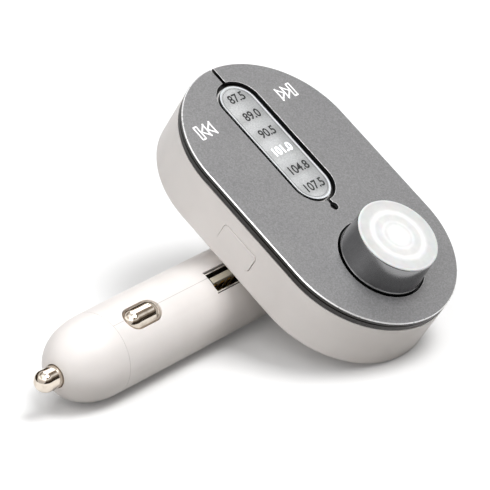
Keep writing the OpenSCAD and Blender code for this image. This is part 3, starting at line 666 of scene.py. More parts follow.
@dataclass(frozen=True)
class RingedCap:
    """Milky cap of the knob: two paler rings and a paler middle under a satin skin, and painted light
    that makes the whole cap glow, most at the rings and the middle.

    A tone or a painted glow is a share of the cap's radius, a grey, and the blue part of that grey.
    """

    name: str
    knob_y: float = -22.55
    edge_r: float = 10.45
    tones: tuple[Triple, ...] = (
        (0.0, 250, 250), (0.16, 250, 250), (0.27, 242, 242), (0.335, 234, 234), (0.36, 240, 240),
        (0.39, 240, 240), (0.43, 233, 232), (0.55, 230, 229), (0.61, 244, 244), (0.67, 244, 244),
        (0.75, 226, 225), (0.93, 222, 221), (1.0, 240, 240))
    # Painted light: no lamp lies under the cap, yet it glows all over, most at its middle and rings
    painted_glows: tuple[Triple, ...] = (
        (0.0, 110, 110), (0.2, 90, 90), (0.31, 50, 50), (0.37, 76, 76), (0.43, 46, 46), (0.55, 40, 40),
        (0.62, 80, 80), (0.665, 80, 80), (0.76, 14, 14))
    glow: float = 0.9
    cloud: float = 2.2
    cloud_colour: Colour = (244, 244, 245)
    smear: float = 1.5
    rough: Pair = (0.3, 0.4)
    depth: float = 0.25
    bleed: float = 1.0
    relief: float = 0.003
    relief_size: float = 0.3

    def build(self) -> Material:
        """Build the finish.

        Returns:
            The finished material.
        """
        g = Finish(self.name)
        at = g.place(Spot(y=self.knob_y))
        share = g.span(g.radius(at), 0.0, self.edge_r * MM, 0.0, 1.0)
        base, lit = (g.ramp(share, [(place, (grey, grey, blue)) for place, grey, blue in stops])
                     for stops in (self.tones, self.painted_glows))
        cloud = g.mottle(at, self.cloud, MANY, self.cloud_colour)
        g.set(Base_Color=g.times(base, cloud), Roughness=g.uneven(at, self.smear, SOME, *self.rough))
        # Painted light: the whole cap glows, though nothing under it gives light
        g.set(Emission_Color=lit, Emission_Strength=self.glow)
        g.set(Subsurface_Weight=self.depth, Subsurface_Scale=self.bleed * MM)
        g.bump(g.noise(at, self.relief_size), self.relief)
        return g.material


@dataclass(frozen=True)
class Board:
    """Circuit board: lacquered copper tracks under green resist, with tinned pads."""

    name: str
    resist: Colour = (24, 92, 52)
    track: Colour = (38, 120, 66)
    pad: Colour = (196, 190, 168)
    track_pitch: float = 2.6
    track_edge: Pair = (0.05, 0.07)
    pad_pitch: float = 1.9
    pad_edge: Pair = (0.13, 0.15)
    weave: float = 0.3
    weave_colour: Colour = (222, 230, 224)
    weave_band: Pair = (0.35, 0.7)
    rough: Pair = (0.32, 0.2)
    tinned: float = 0.9
    coat: float = 0.2
    relief: float = 0.03

    def build(self) -> Material:
        """Build the finish.

        Returns:
            The finished material.
        """
        g = Finish(self.name)
        at = g.place()
        runs = g.cells(at, self.track_pitch, "DISTANCE_TO_EDGE")
        on_track = g.span(runs.outputs["Distance"], *self.track_edge, 1.0, 0.0)
        dots = g.cells(at, self.pad_pitch)
        on_pad = g.span(dots.outputs["Distance"], *self.pad_edge, 1.0, 0.0)
        weave = g.mottle(at, self.weave, FEW, self.weave_colour, band=self.weave_band)
        green = g.times(g.blend(on_track, linear(self.resist), linear(self.track)), weave)
        rough = g.span(on_pad, 0, 1, *self.rough)
        g.set(Base_Color=g.blend(on_pad, green, linear(self.pad)), Roughness=rough)
        g.set(Metallic=g.sum("MULTIPLY", on_pad, self.tinned), Coat_Weight=self.coat)
        g.bump(g.sum("ADD", on_track, on_pad), self.relief)
        return g.material


@dataclass(frozen=True)
class Ink:
    """Thin print or light window: a slightly uneven layer of one ink, lit where wanted."""

    name: str
    colour: Colour
    glow: float = 0.0
    rough: float = 0.5
    drift: float = 0.07
    cloud: float = 0.4
    band: Pair = (0.3, 0.65)
    relief: float = 0.002
    relief_size: float = 0.12

    def build(self) -> Material:
        """Build the finish.

        Returns:
            The finished material.
        """
        g = Finish(self.name)
        at = g.place()
        darker, _ = shades(self.colour, self.drift)
        base = g.mottle(at, self.cloud, SOME, darker, self.colour, self.band)
        g.set(Base_Color=base, Roughness=self.rough)
        g.bump(g.noise(at, self.relief_size), self.relief)
        if self.glow:
            g.set(Emission_Color=linear(self.colour), Emission_Strength=self.glow)
        return g.material


class Slot(Enum):
    """The record's material slots, each with the finish that it gets."""

    WHITE_CASE = "white_case"
    DARK_TRIM = "dark_trim"
    FACE_GREY = "face_grey"
    BLACK_FRAME = "black_frame"
    SWITCH_BUTTON = "switch_button"
    SWITCH_METAL = "switch_metal"
    CLEAR_LENS = "clear_lens"
    SCALE_SILVER = "scale_silver"
    GUIDE_WHITE = "guide_white"
    LED_LENS = "led_lens"
    SCREW_STEEL = "screw_steel"
    BOARD_GREEN = "board_green"
    CHIP_BLACK = "chip_black"
    CAN_BLUE = "can_blue"
    SHAFT_BRASS = "shaft_brass"
    KNOB_CORE = "knob_core"
    KNOB_GREY = "knob_grey"
    KNOB_CAP = "knob_cap"
    WASHER_NYLON = "washer_nylon"
    LEAD_RED = "lead_red"
    CONTACT_CHROME = "contact_chrome"
    FUSE_GLASS = "fuse_glass"
    FUSE_CAP = "fuse_cap"
    SPRING_STEEL = "spring_steel"
    INNER_PLASTIC = "inner_plastic"


class Palette:
    """All finishes of the object, each built once."""

    def __init__(self) -> None:
        """Build one material for each of the record's slots, then the inks and the barrel's whites."""
        case = Moulded("white_case", (244, 239, 236), 0.4, drift=0.012, relief=0.003, depth=0.06)
        nose_seam = Seam(axis=0, place=-61.0, strength=0.25)
        barrel = replace(case, name="barrel_white", colour=(245, 240, 237), rough=0.38,
                         seams=(Seam(axis=1, place=0.5, strength=0.7), nose_seam))
        self.by_slot: dict[Slot, Material] = {Slot(finish.name): finish.build() for finish in (
            case,
            Moulded("dark_trim", (40, 37, 35), drift=0.06, relief=0.002),
            FlakePaint("face_grey", (139, 139, 140)),
            Moulded("black_frame", (13, 13, 14), drift=0.1),
            Moulded("switch_button", (36, 36, 38), 0.5, drift=0.08),
            Metal("switch_metal", (178, 180, 183), 0.3),
            Clear("clear_lens"),
            Film("scale_silver"),
            Moulded("guide_white", (240, 240, 238), 0.45, drift=0.02),
            Moulded("led_lens", (240, 232, 170), 0.2, drift=0.05, coat=0.8),
            Metal("screw_steel", (186, 188, 190), 0.24),
            Board("board_green"),
            Moulded("chip_black", (38, 38, 40), 0.48, drift=0.1, grain=0.1),
            Moulded("can_blue", (38, 46, 86), 0.3, drift=0.06, coat=0.4),
            Metal("shaft_brass", (206, 182, 122), 0.22, stain=(150, 122, 72)),
            Moulded("knob_core", (238, 239, 240), 0.35, drift=0.02, depth=0.2),
            Metal("knob_grey", (142, 142, 143), 0.16, stain=(134, 134, 135), stains=0.3,
                  lines=(0.02, 0.02, 1.0), relief=0.0, uneven=0.2),
            RingedCap("knob_cap"),
            Moulded("washer_nylon", (214, 208, 190), 0.4, drift=0.04, depth=0.1),
            Moulded("lead_red", (176, 34, 38), 0.38, drift=0.06),
            Metal("contact_chrome", (220, 210, 197), 0.08, stain=(128, 108, 86), stains=0.45),
            Clear("fuse_glass", (238, 246, 242), 0.02, ior=1.5),
            Metal("fuse_cap", (200, 201, 204), 0.18),
            Metal("spring_steel", (170, 172, 176), 0.2),
            Moulded("inner_plastic", (228, 220, 200), drift=0.03, depth=0.1),
        )}
        self.digit = Ink("digit_ink", (14, 14, 15)).build()
        self.lit_digit = Ink("lit_digit", WHITE, 0.75).build()
        # Painted highlight: a white ring, glowing a little, under the lens's edge stands in for the
        # light that its bevel catches
        self.rim = Ink("rim_highlight_ink", (250, 250, 250), 0.12).build()
        # Painted shade: a dark line printed where the edge of the lens's flat top shows
        self.hairline = Ink("shade_line_ink", (88, 89, 91)).build()
        self.icon = Ink("icon_light", WHITE, 0.3).build()
        self.gold = Metal("contact_gold", (214, 176, 92), 0.2, stain=(150, 112, 50),
                          stains=0.3).build()
        self.barrel = barrel.build()
        self.nose = replace(barrel, name="nose_white", seams=(nose_seam,)).build()
        self.port = Metal("port_nickel", (250, 247, 240), 0.5, stain=(226, 220, 210),
                          stains=0.3).build()
        # Painted shade: dark brown on the port shell's inner walls, where the cavity lies in shade
        self.port_painted_shade = Metal("port_painted_shade", (74, 64, 54), 0.35, stain=(50, 42, 34),
                                 stains=0.4).build()
        # Pale, half-metallic finish of the plates' bevels: partly a real reflection, partly a painted
        # highlight along their edges
        self.cut = FlakePaint("bevel_highlight_paint", (250, 250, 251), flake=0.15, spread=0.02, rough=0.3,
                              metallic=0.5).build()


def rim_of(bm: BMesh) -> list[BMEdge]:
    """Return the edges at which a mesh is open."""
    return [edge for edge in bm.edges if edge.is_boundary]


def made_verts(extrusion: dict[str, list]) -> list[BMVert]:
    """Return the vertices that an extrusion made."""
    return [part for part in extrusion["geom"] if isinstance(part, BMVert)]


def about(level: float, radius: float, offsets: Iterable[Pair]) -> list[Pair]:
    """Return points of a profile near one level and radius.

    Args:
        level: the level.
        radius: the radius.
        offsets: how far each point lies from that level and radius.

    Returns:
        The points' levels and radii.
    """
    return [(level + rise, radius + out) for rise, out in offsets]


def quarter(steps: int) -> list[float]:
    """Return the angles that part a quarter turn into equal steps, from 0 on."""
    return [math.pi / 2 * number / steps for number in range(steps + 1)]


def hang(name: str, data: ID, back: Iterable[float], at: Iterable[float] = (0, 0, 0)) -> Object:
    """Put a lamp or the camera in the scene.

    Args:
        name: the object's name.
        data: what it is.
        back: the way that its back points.
        at: its place, in metres.

    Returns:
        The object.
    """
    thing = bpy.data.objects.new(name, data)
    thing.location = at
    thing.rotation_euler = Vector(back).to_track_quat("Z", "Y").to_euler()
    bpy.context.scene.collection.objects.link(thing)
    return thing


@dataclass
class Pieces:
    """What every sub-assembly shares: copies of CAD nodes, lathe and plate shapes, and dressing."""

    palette: Palette
    node_merge: float = 0.002
    drawn_merge: float = 0.0001
    flat_turn: float = 0.4
    upright: float = 0.5

    def keep(self, slot: Slot, *nodes: str) -> None:
        """Leave CAD nodes as they are and give them their finish.

        Args:
            slot: the record's material slot.
            nodes: names of the nodes.
        """
        for node in nodes:
            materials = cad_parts[node].data.materials
            materials.clear()
            materials.append(self.palette.by_slot[slot])
            log.info("node %s keeps its shape, finish %s", node, slot.value)

    def copy(self, node: str, edge: float = 0.0) -> BMesh:
        """Copy a CAD node with its doubles merged and its sharp edges rounded.

        Args:
            node: the node's name.
            edge: width of the rounding, in millimetres, or 0 for none.

        Returns:
            The mesh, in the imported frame.
        """
        bm = bmesh.new()
        bm.from_mesh(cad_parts[node].data)
        bmesh.ops.remove_doubles(bm, verts=bm.verts[:], dist=self.node_merge * MM)
        bmesh.ops.dissolve_limit(bm, angle_limit=math.radians(self.flat_turn), verts=bm.verts[:],
                                 edges=bm.edges[:])
        if edge:
            self.round(bm, edge * MM)
        return bm

    def round(self, bm: BMesh, width: float, choose: Callable[[BMEdge], bool] | None = None,
              turn: float = 28.0, segments: int = 2) -> None:
        """Round the edges at which two faces meet sharply.

        Args:
            bm: the mesh.
            width: width of the rounding, in the mesh's own unit.
            choose: test that an edge passes to be rounded, if not all are.
            turn: least angle between the two faces, in degrees.
            segments: number of strips in a rounding.
        """
        least = math.radians(turn)
        sharp = [e for e in bm.edges if len(e.link_faces) == 2 and e.calc_face_angle(0) > least]
        if choose:
            sharp = [e for e in sharp if choose(e)]
        bmesh.ops.bevel(bm, geom=sharp, offset=width, offset_type="OFFSET", segments=segments,
                        profile=0.5, affect="EDGES", clamp_overlap=True, material=-1)

    def lathe(self, profile: Iterable[Pair], along_plug: bool, centre: float = 0.0, steps: int = 128,
              closed: bool = False) -> BMesh:
        """Spin a profile round the plug's axis or round an axis out of the face.

        Args:
            profile: pairs of a distance along the axis and a radius, in millimetres, in order.
            along_plug: True for the plug's axis, along which distances run towards the nose.
            centre: place of an axis out of the face along the head.
            steps: number of steps in the turn.
            closed: True if the profile's last point joins its first.

        Returns:
            The mesh, in the drawing frame.
        """
        bm = bmesh.new()
        points = [(-a, 0.0, r) if along_plug else (r, centre, a) for a, r in profile]
        verts = [bm.verts.new(p) for p in points]
        edges = [bm.edges.new(pair) for pair in zip(verts, verts[1:])]
        if closed:
            edges.append(bm.edges.new((verts[-1], verts[0])))
        axis = (1, 0, 0) if along_plug else (0, 0, 1)
        bmesh.ops.spin(bm, geom=verts + edges, cent=(0, centre, 0), axis=axis, dvec=(0, 0, 0),
                       angle=2 * math.pi, steps=steps, use_merge=True, use_duplicate=False)
        bmesh.ops.remove_doubles(bm, verts=bm.verts[:], dist=self.drawn_merge)
        bmesh.ops.recalc_face_normals(bm, faces=bm.faces[:])
        return bm

    def stadium(self, width: float, length: float, middle: float, level: float,
                steps: int = 96) -> BMesh:
        """Make a flat face with round ends, its long side along the head.

        Args:
            width: width of the face.
            length: length of the face.
            middle: place of its middle along the head.
            level: its height.
            steps: number of points round both ends.

        Returns:
            The mesh, in the drawing frame.
        """
        bm = bmesh.new()
        bmesh.ops.create_circle(bm, cap_ends=True, radius=width / 2, segments=steps,
                                matrix=Matrix.Rotation(math.pi / steps, 4, "Z"))
        half = (length - width) / 2
        for vert in bm.verts:
            vert.co.y += half if vert.co.y > 0 else -half
        bmesh.ops.translate(bm, verts=bm.verts[:], vec=(0, middle, level))
        return bm

    def hollow(self, bm: BMesh, stroke: float) -> None:
        """Leave only a rim of a flat mesh.

        Args:
            bm: the flat mesh.
            stroke: the rim's width.
        """
        inner = bm.faces[:]
        bmesh.ops.inset_region(bm, faces=inner, thickness=stroke, use_even_offset=True,
                               use_boundary=True)
        bmesh.ops.delete(bm, geom=inner, context="FACES_ONLY")

    def raise_faces(self, bm: BMesh, height: float) -> None:
        """Extrude all faces of a flat mesh into a closed solid.

        Args:
            bm: the flat mesh.
            height: how far its faces rise.
        """
        extruded = bmesh.ops.extrude_face_region(bm, geom=bm.faces[:], use_keep_orig=True)
        bmesh.ops.translate(bm, verts=made_verts(extruded), vec=(0, 0, height))
        bmesh.ops.recalc_face_normals(bm, faces=bm.faces[:])

    def part_walls(self, bm: BMesh) -> None:
        """Give the upright faces of a mesh in the drawing frame the piece's second finish."""
        for face in bm.faces:
            face.material_index = int(abs(face.normal.z) < self.upright)

    def dress(self, bm: BMesh, name: str, body: str, slot: Slot, nodes: Iterable[str] = (),
              material: Material | None = None, drawn: bool = True, smooth: float = 30.0,
              others: Iterable[Material] = ()) -> None:
        """Turn a mesh into a finished piece that rides on a body.

        Args:
            bm: the mesh, which is freed.
            name: the piece's name.
            body: the CAD body that it rides on.
            slot: the record's material slot that its finish comes from.
            nodes: CAD nodes that it stands for.
            material: its finish, if not the slot's own.
            drawn: True if the mesh is in the drawing frame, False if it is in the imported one.
            smooth: greatest angle that is shaded smoothly, in degrees.
            others: finishes of the faces that carry a material number of 1 or more.
        """
        if drawn:
            bmesh.ops.transform(bm, matrix=STANCE.matrix(), verts=bm.verts[:])
        mesh = bpy.data.meshes.new(name)
        bm.to_mesh(mesh)
        bm.free()
        mesh.polygons.foreach_set("use_smooth", [True] * len(mesh.polygons))
        mesh.set_sharp_from_angle(angle=math.radians(smooth))
        for one in (material or self.palette.by_slot[slot], *others):
            mesh.materials.append(one)
        piece = bpy.data.objects.new(name, mesh)
        bpy.context.scene.collection.objects.link(piece)
        weighted = piece.modifiers.new("even_normals", "WEIGHTED_NORMAL")
        weighted.keep_sharp = True
        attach(piece, body)
        if nodes:
            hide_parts(*nodes)
        log.info("piece %s on %s, %d faces", name, body, len(mesh.polygons))

    def recut(self, node: str, edge: float, name: str, body: str, slot: Slot,
              material: Material | None = None, smooth: float = 30.0) -> None:
        """Let a copy of a CAD node with rounded edges stand for it.

        Args:
            node: the node's name.
            edge: width of the rounding, in millimetres, or 0 for none.
            name: the piece's name.
            body: the CAD body that it rides on.
            slot: the record's material slot that its finish comes from.
            material: its finish, if not the slot's own.
            smooth: greatest angle that is shaded smoothly, in degrees.
        """
        self.dress(self.copy(node, edge), name, body, slot, [node], material, drawn=False,
                   smooth=smooth)


@dataclass
class Casing(Pieces):
    """White rear housing, the dark trim ring on it, and the button in its left side."""

    edge: float = 0.12
    button_edge: float = 0.14

    def build(self) -> None:
        """Make the housing, the trim ring and the side button."""
        self.recut("rear_housing", self.edge, "housing_shell", "head", Slot.WHITE_CASE)
        self.recut("trim_ring", self.edge, "trim_band", "head", Slot.DARK_TRIM)
        self.recut("channel_button", self.button_edge, "side_button", "channel_button", Slot.WHITE_CASE)


class Skip(Enum):
    """The two track keys: which way each one skips."""

    PREVIOUS = -1
    NEXT = 1


class Side(Enum):
    """The sides of a face plate, each with the number of its finish."""

    TOP = 0
    # The bevel, whose pale finish is partly a painted highlight
    PAINTED_HIGHLIGHT = 1
    OUTER_WALL = 2
    INNER_WALL = 3


@dataclass
class Face(Pieces):
    """Grey plate round the knob and the two keys with their lit icons."""

    level: float = 30.15
    head_w: float = 49.8
    head_l: float = 82.5
    edge: float = 0.06
    bevel: float = 0.25
    bevel_slack: float = 0.05
    flat_up: float = 0.95
    slope_up: float = 0.3
    joint_y: float = -5.25
    joint_slack: float = 0.02
    icon_at: tuple[Pair, Pair] = ((-16.0, 26.76), (14.57, 27.35))
    icon_w: float = 5.45
    icon_h: float = 4.3
    bar_w: float = 1.45
    bar_corner: float = 0.3
    arrows: int = 2
    arrow_w: float = 2.25
    arrow_corner: float = 0.12
    arrow_lap: float = 0.15
    corner_steps: int = 4
    stroke: float = 0.4
    lift: float = 0.03

    def build(self) -> None:
        """Make the fixed plate, the keys and the icons."""
        self.panel("face_plate", "face_panel", "head")
        for skip, node in ((Skip.PREVIOUS, "prev_key"), (Skip.NEXT, "next_key")):
            self.panel(node, f"{node}_panel", node)
            self.icon(skip, node)

    def panel(self, node: str, name: str, body: str) -> None:
        """Round one plate's edges and part its faces: grey top, pale bevel that is partly a painted
        highlight, dark walls.

        Args:
            node: the CAD node that it stands for.
            name: the piece's name.
            body: the body that it rides on.
        """
        drawing = STANCE.matrix().inverted()
        turned = drawing.to_3x3().normalized()
        bm = self.copy(node)
        self.round(bm, self.edge * MM, lambda e: not self.on_joint(e, drawing))
        for face in bm.faces:
            side = self.side_of(drawing @ face.calc_center_median(), (turned @ face.normal).z)
            face.material_index = side.value
        walls = (self.palette.by_slot[slot] for slot in (Slot.DARK_TRIM, Slot.BLACK_FRAME))
        self.dress(bm, name, body, Slot.FACE_GREY, [node], drawn=False,
                   others=(self.palette.cut, *walls))

    def on_joint(self, edge: BMEdge, drawing: Matrix) -> bool:
        """Say whether an edge lies where the keys meet the fixed plate, which stays a hairline.

        Args:
            edge: the edge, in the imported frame.
            drawing: the transform back to the drawing frame.

        Returns:
            True if both of its ends lie in that plane.
        """
        return all(abs((drawing @ v.co).y - self.joint_y) < self.joint_slack for v in edge.verts)

    def side_of(self, place: Vector, up: float) -> Side:
        """Say which side of a plate a face belongs to.

        Args:
            place: the face's middle, in the drawing frame.
            up: how far the face points out of the head, from -1 to 1.

        Returns:
            The side.
        """
        if up > self.flat_up:
            return Side.TOP
        # A sloped face near the top is the bevel, which gets the painted highlight
        if up > self.slope_up and place.z > self.level - self.bevel - self.bevel_slack:
            return Side.PAINTED_HIGHLIGHT
        beyond = max(0.0, abs(place.y) - (self.head_l - self.head_w) / 2)
        inset = self.head_w / 2 - math.hypot(place.x, beyond)
        return Side.OUTER_WALL if inset < self.bevel else Side.INNER_WALL

    def outline(self, corners: Iterable[Pair], corner: float) -> BMesh:
        """Make a raised outline of a small closed shape.

        Args:
            corners: the shape's corners on the face.
            corner: rounding of its corners.

        Returns:
            The mesh, in the drawing frame.
        """
        bm = bmesh.new()
        bm.faces.new([bm.verts.new((x, y, self.level)) for x, y in corners])
        bmesh.ops.recalc_face_normals(bm, faces=bm.faces[:])
        bmesh.ops.bevel(bm, geom=bm.verts[:], offset=corner, offset_type="OFFSET", profile=0.5,
                        segments=self.corner_steps, affect="VERTICES", clamp_overlap=True, material=-1)
        self.hollow(bm, self.stroke)
        self.raise_faces(bm, self.lift)
        return bm

    def icon(self, skip: Skip, body: str) -> None:
        """Make one key's icon: a bar and two arrows, as thin outlines.

        Args:
            skip: which way the arrows point.
            body: the key's body.
        """
        x, y = self.icon_at[skip is Skip.NEXT]
        start, half = self.icon_w / 2, self.icon_h / 2
        back = start - self.bar_w
        shapes = [([(start, -half), (start, half), (back, half), (back, -half)], self.bar_corner)]
        for number in range(self.arrows):
            tip = back + self.arrow_lap - number * (self.arrow_w - self.arrow_lap)
            arrow = [(tip, 0), (tip - self.arrow_w, half), (tip - self.arrow_w, -half)]
            shapes.append((arrow, self.arrow_corner))
        whole = bmesh.new()
        mesh = bpy.data.meshes.new("icon_part")
        for corners, corner in shapes:
            part = self.outline([(x + skip.value * u, y + v) for u, v in corners], corner)
            part.to_mesh(mesh)
            part.free()
            whole.from_mesh(mesh)
        bpy.data.meshes.remove(mesh)
        self.dress(whole, f"{body}_icon", body, Slot.FACE_GREY, material=self.palette.icon)


@dataclass
class Dial(Pieces):
    """Window with its lens, the silver film, a white rim ring that paints the highlight of the lens's
    bevel, a dark line that paints shade where the lens's flat top ends, and the six frequencies.

    The two weights are those of a plain frequency and of the lit one.
    """

    width: float = 10.95
    length: float = 37.4
    middle: float = 16.6
    under: float = 28.76
    film_level: float = 29.6
    top: float = 29.95
    print_less: float = 0.04
    lens_gap: float = 0.012
    bevel: float = 0.1
    bevel_turn: float = 60.0
    bevel_slack: float = 0.01
    lens_smooth: float = 25.0
    # Width of the white ring of painted highlight under the lens's edge
    rim_highlight_w: float = 0.5
    # Place and width of the line of painted shade at the edge of the lens's flat top
    shade_line_in: float = 0.82
    shade_line_w: float = 0.1
    ink_h: float = 0.008
    digit_h: float = 2.6
    squeeze: float = 0.92
    digit_x: float = 0.35
    weights: Pair = (0.02, 0.04)
    text_merge: float = 0.00001
    words: tuple[str, ...] = ("87.5", "89.0", "90.5", "101.0", "104.8", "107.5")
    places: tuple[float, ...] = (31.65, 25.78, 19.98, 14.21, 8.05, 2.18)
    lit: int = 3

    def build(self) -> None:
        """Make the lens, the print sheet, the rim ring of painted highlight, the line of painted shade
        and the digits; the film stays the CAD's.
        """
        self.keep(Slot.SCALE_SILVER, "scale_film")
        walls = (self.palette.by_slot[Slot.BLACK_FRAME],)
        width, length = self.width - self.print_less, self.length - self.print_less
        print_sheet = self.stadium(width, length, self.middle, self.under)
        self.raise_faces(print_sheet, self.film_level - self.under)
        self.part_walls(print_sheet)
        self.dress(print_sheet, "dial_print", "head", Slot.SCALE_SILVER, others=walls)
        foot = self.film_level + self.lens_gap
        lens = self.stadium(self.width, self.length, self.middle, foot)
        self.raise_faces(lens, self.top - foot)
        self.round(lens, self.bevel, self.on_top, self.bevel_turn, 1)
        self.part_walls(lens)
        self.dress(lens, "dial_lens", "head", Slot.CLEAR_LENS, ["scale_lens"], smooth=self.lens_smooth,
                   others=walls)
        # Painted highlight of the lens's bevel, and painted shade where its flat top ends
        self.ring("dial_rim_highlight", 0.0, self.rim_highlight_w, self.palette.rim)
        self.ring("dial_shade_line", self.shade_line_in, self.shade_line_w, self.palette.hairline)
        for number, (word, place) in enumerate(zip(self.words, self.places)):
            self.digits(word, place, number == self.lit)

    def on_top(self, edge: BMEdge) -> bool:
        """Say whether an edge lies in the lens's top."""
        return min(v.co.z for v in edge.verts) > self.top - self.bevel_slack

    def ring(self, name: str, inside: float, stroke: float, material: Material) -> None:
        """Print a thin stadium ring on the film.

        Args:
            name: the piece's name.
            inside: distance of its outer edge from the lens's edge.
            stroke: its width.
            material: its ink.
        """
        width, length = self.width - 2 * inside, self.length - 2 * inside
        bm = self.stadium(width, length, self.middle, self.film_level)
        self.hollow(bm, stroke)
        self.raise_faces(bm, self.ink_h)
        self.dress(bm, name, "head", Slot.SCALE_SILVER, material=material)

    def digits(self, word: str, place: float, lit: bool) -> None:
        """Print one frequency on the film.

        Args:
            word: the figures.
            place: where their middle lies along the head.
            lit: True for the frequency that is on, which is white and a little bolder.
        """
        text = bpy.data.curves.new(word, "FONT")
        text.body = word
        text.align_x = text.align_y = "CENTER"
        text.offset = self.weights[lit]
        holder = bpy.data.objects.new(word, text)
        bpy.context.scene.collection.objects.link(holder)
        figures = holder.evaluated_get(bpy.context.evaluated_depsgraph_get())
        shape = bpy.data.meshes.new_from_object(figures)
        bpy.data.objects.remove(holder)
        bm = bmesh.new()
        bm.from_mesh(shape)
        bpy.data.meshes.remove(shape)
        bmesh.ops.remove_doubles(bm, verts=bm.verts[:], dist=self.text_merge)
        (left, right), (low, high), _ = ((min(row), max(row)) for row in zip(*(v.co for v in bm.verts)))
        scale = self.digit_h / (high - low)
        shift = Matrix.Translation((-(left + right) / 2, -(low + high) / 2, 0))
        size = Matrix.Diagonal((scale * self.squeeze, scale, 1, 1))
        to_film = Matrix.Translation((self.digit_x, place, self.film_level))
        bmesh.ops.transform(bm, matrix=to_film @ size @ shift, verts=bm.verts[:])
        self.raise_faces(bm, self.ink_h)
        ink = self.palette.lit_digit if lit else self.palette.digit
        self.dress(bm, f"digits_{word.replace('.', '_')}", "head", Slot.SCALE_SILVER, material=ink)


@dataclass
class Knob(Pieces):
    """Turned grey knob with its foot ring, and the milky cap with raised rings.

    The pairs are offsets of a profile's points from a level and a radius. Those of the rings are a
    share of the top's radius and a height over the top.
    """

    centre: float = -22.55
    face: float = 30.15
    skirt: float = 1.6
    base_r: float = 11.0
    bore_r: float = 9.3
    top_r: float = 10.45
    step_h: float = 0.55
    cap_level: float = 38.85
    top: float = 39.25
    plug_r: float = 9.2
    plug_deep: float = 1.2
    smooth: float = 40.0
    foot: tuple[Pair, ...] = ((0.0, -0.15), (0.15, 0.0))
    foot_ring: tuple[Pair, ...] = ((-0.08, 0.0), (0.0, -0.06), (0.02, -0.14), (0.12, -0.03),
                                   (0.24, -0.13))
    lip: tuple[Pair, ...] = ((-0.3, 0.02), (-0.22, -0.05), (-0.12, -0.05), (-0.04, 0.0), (0.0, -0.04))
    cap_foot: tuple[Pair, ...] = ((0.0, -0.06), (0.06, 0.0))
    cap_edge: tuple[Pair, ...] = ((-0.16, 0.0), (-0.06, -0.05), (0.0, -0.18))
    rings: tuple[Pair, ...] = ((0.94, 0.0), (0.925, -0.04), (0.735, -0.05), (0.70, 0.0), (0.60, 0.0),
                               (0.565, -0.05), (0.435, -0.05), (0.41, 0.0), (0.35, 0.0), (0.325, -0.04),
                               (0.2, -0.02), (0.0, 0.0))

    def build(self) -> None:
        """Make the shell and the cap."""
        low, step = self.face - self.skirt, self.face + self.step_h
        shell = [(low, self.bore_r), *about(low, self.base_r, self.foot)]
        shell += about(step, self.base_r, self.foot_ring)
        shell += [*about(self.cap_level, self.top_r, self.lip), (self.cap_level, self.bore_r)]
        self.dress(self.lathe(shell, False, self.centre, closed=True), "knob_barrel", "knob",
                   Slot.KNOB_GREY, ["knob_shell"], smooth=self.smooth)
        under = self.cap_level - self.plug_deep
        cap = [(under, 0.0), (under, self.plug_r), (self.cap_level, self.plug_r)]
        cap += about(self.cap_level, self.top_r, self.cap_foot)
        cap += about(self.top, self.top_r, self.cap_edge)
        cap += [(self.top + rise, share * self.top_r) for share, rise in self.rings]
        self.dress(self.lathe(cap, False, self.centre), "knob_top", "knob", Slot.KNOB_CAP, ["knob_cap"],
                   smooth=self.smooth)
        self.keep(Slot.KNOB_CORE, "knob_core")
        self.keep(Slot.SHAFT_BRASS, "encoder_shaft")


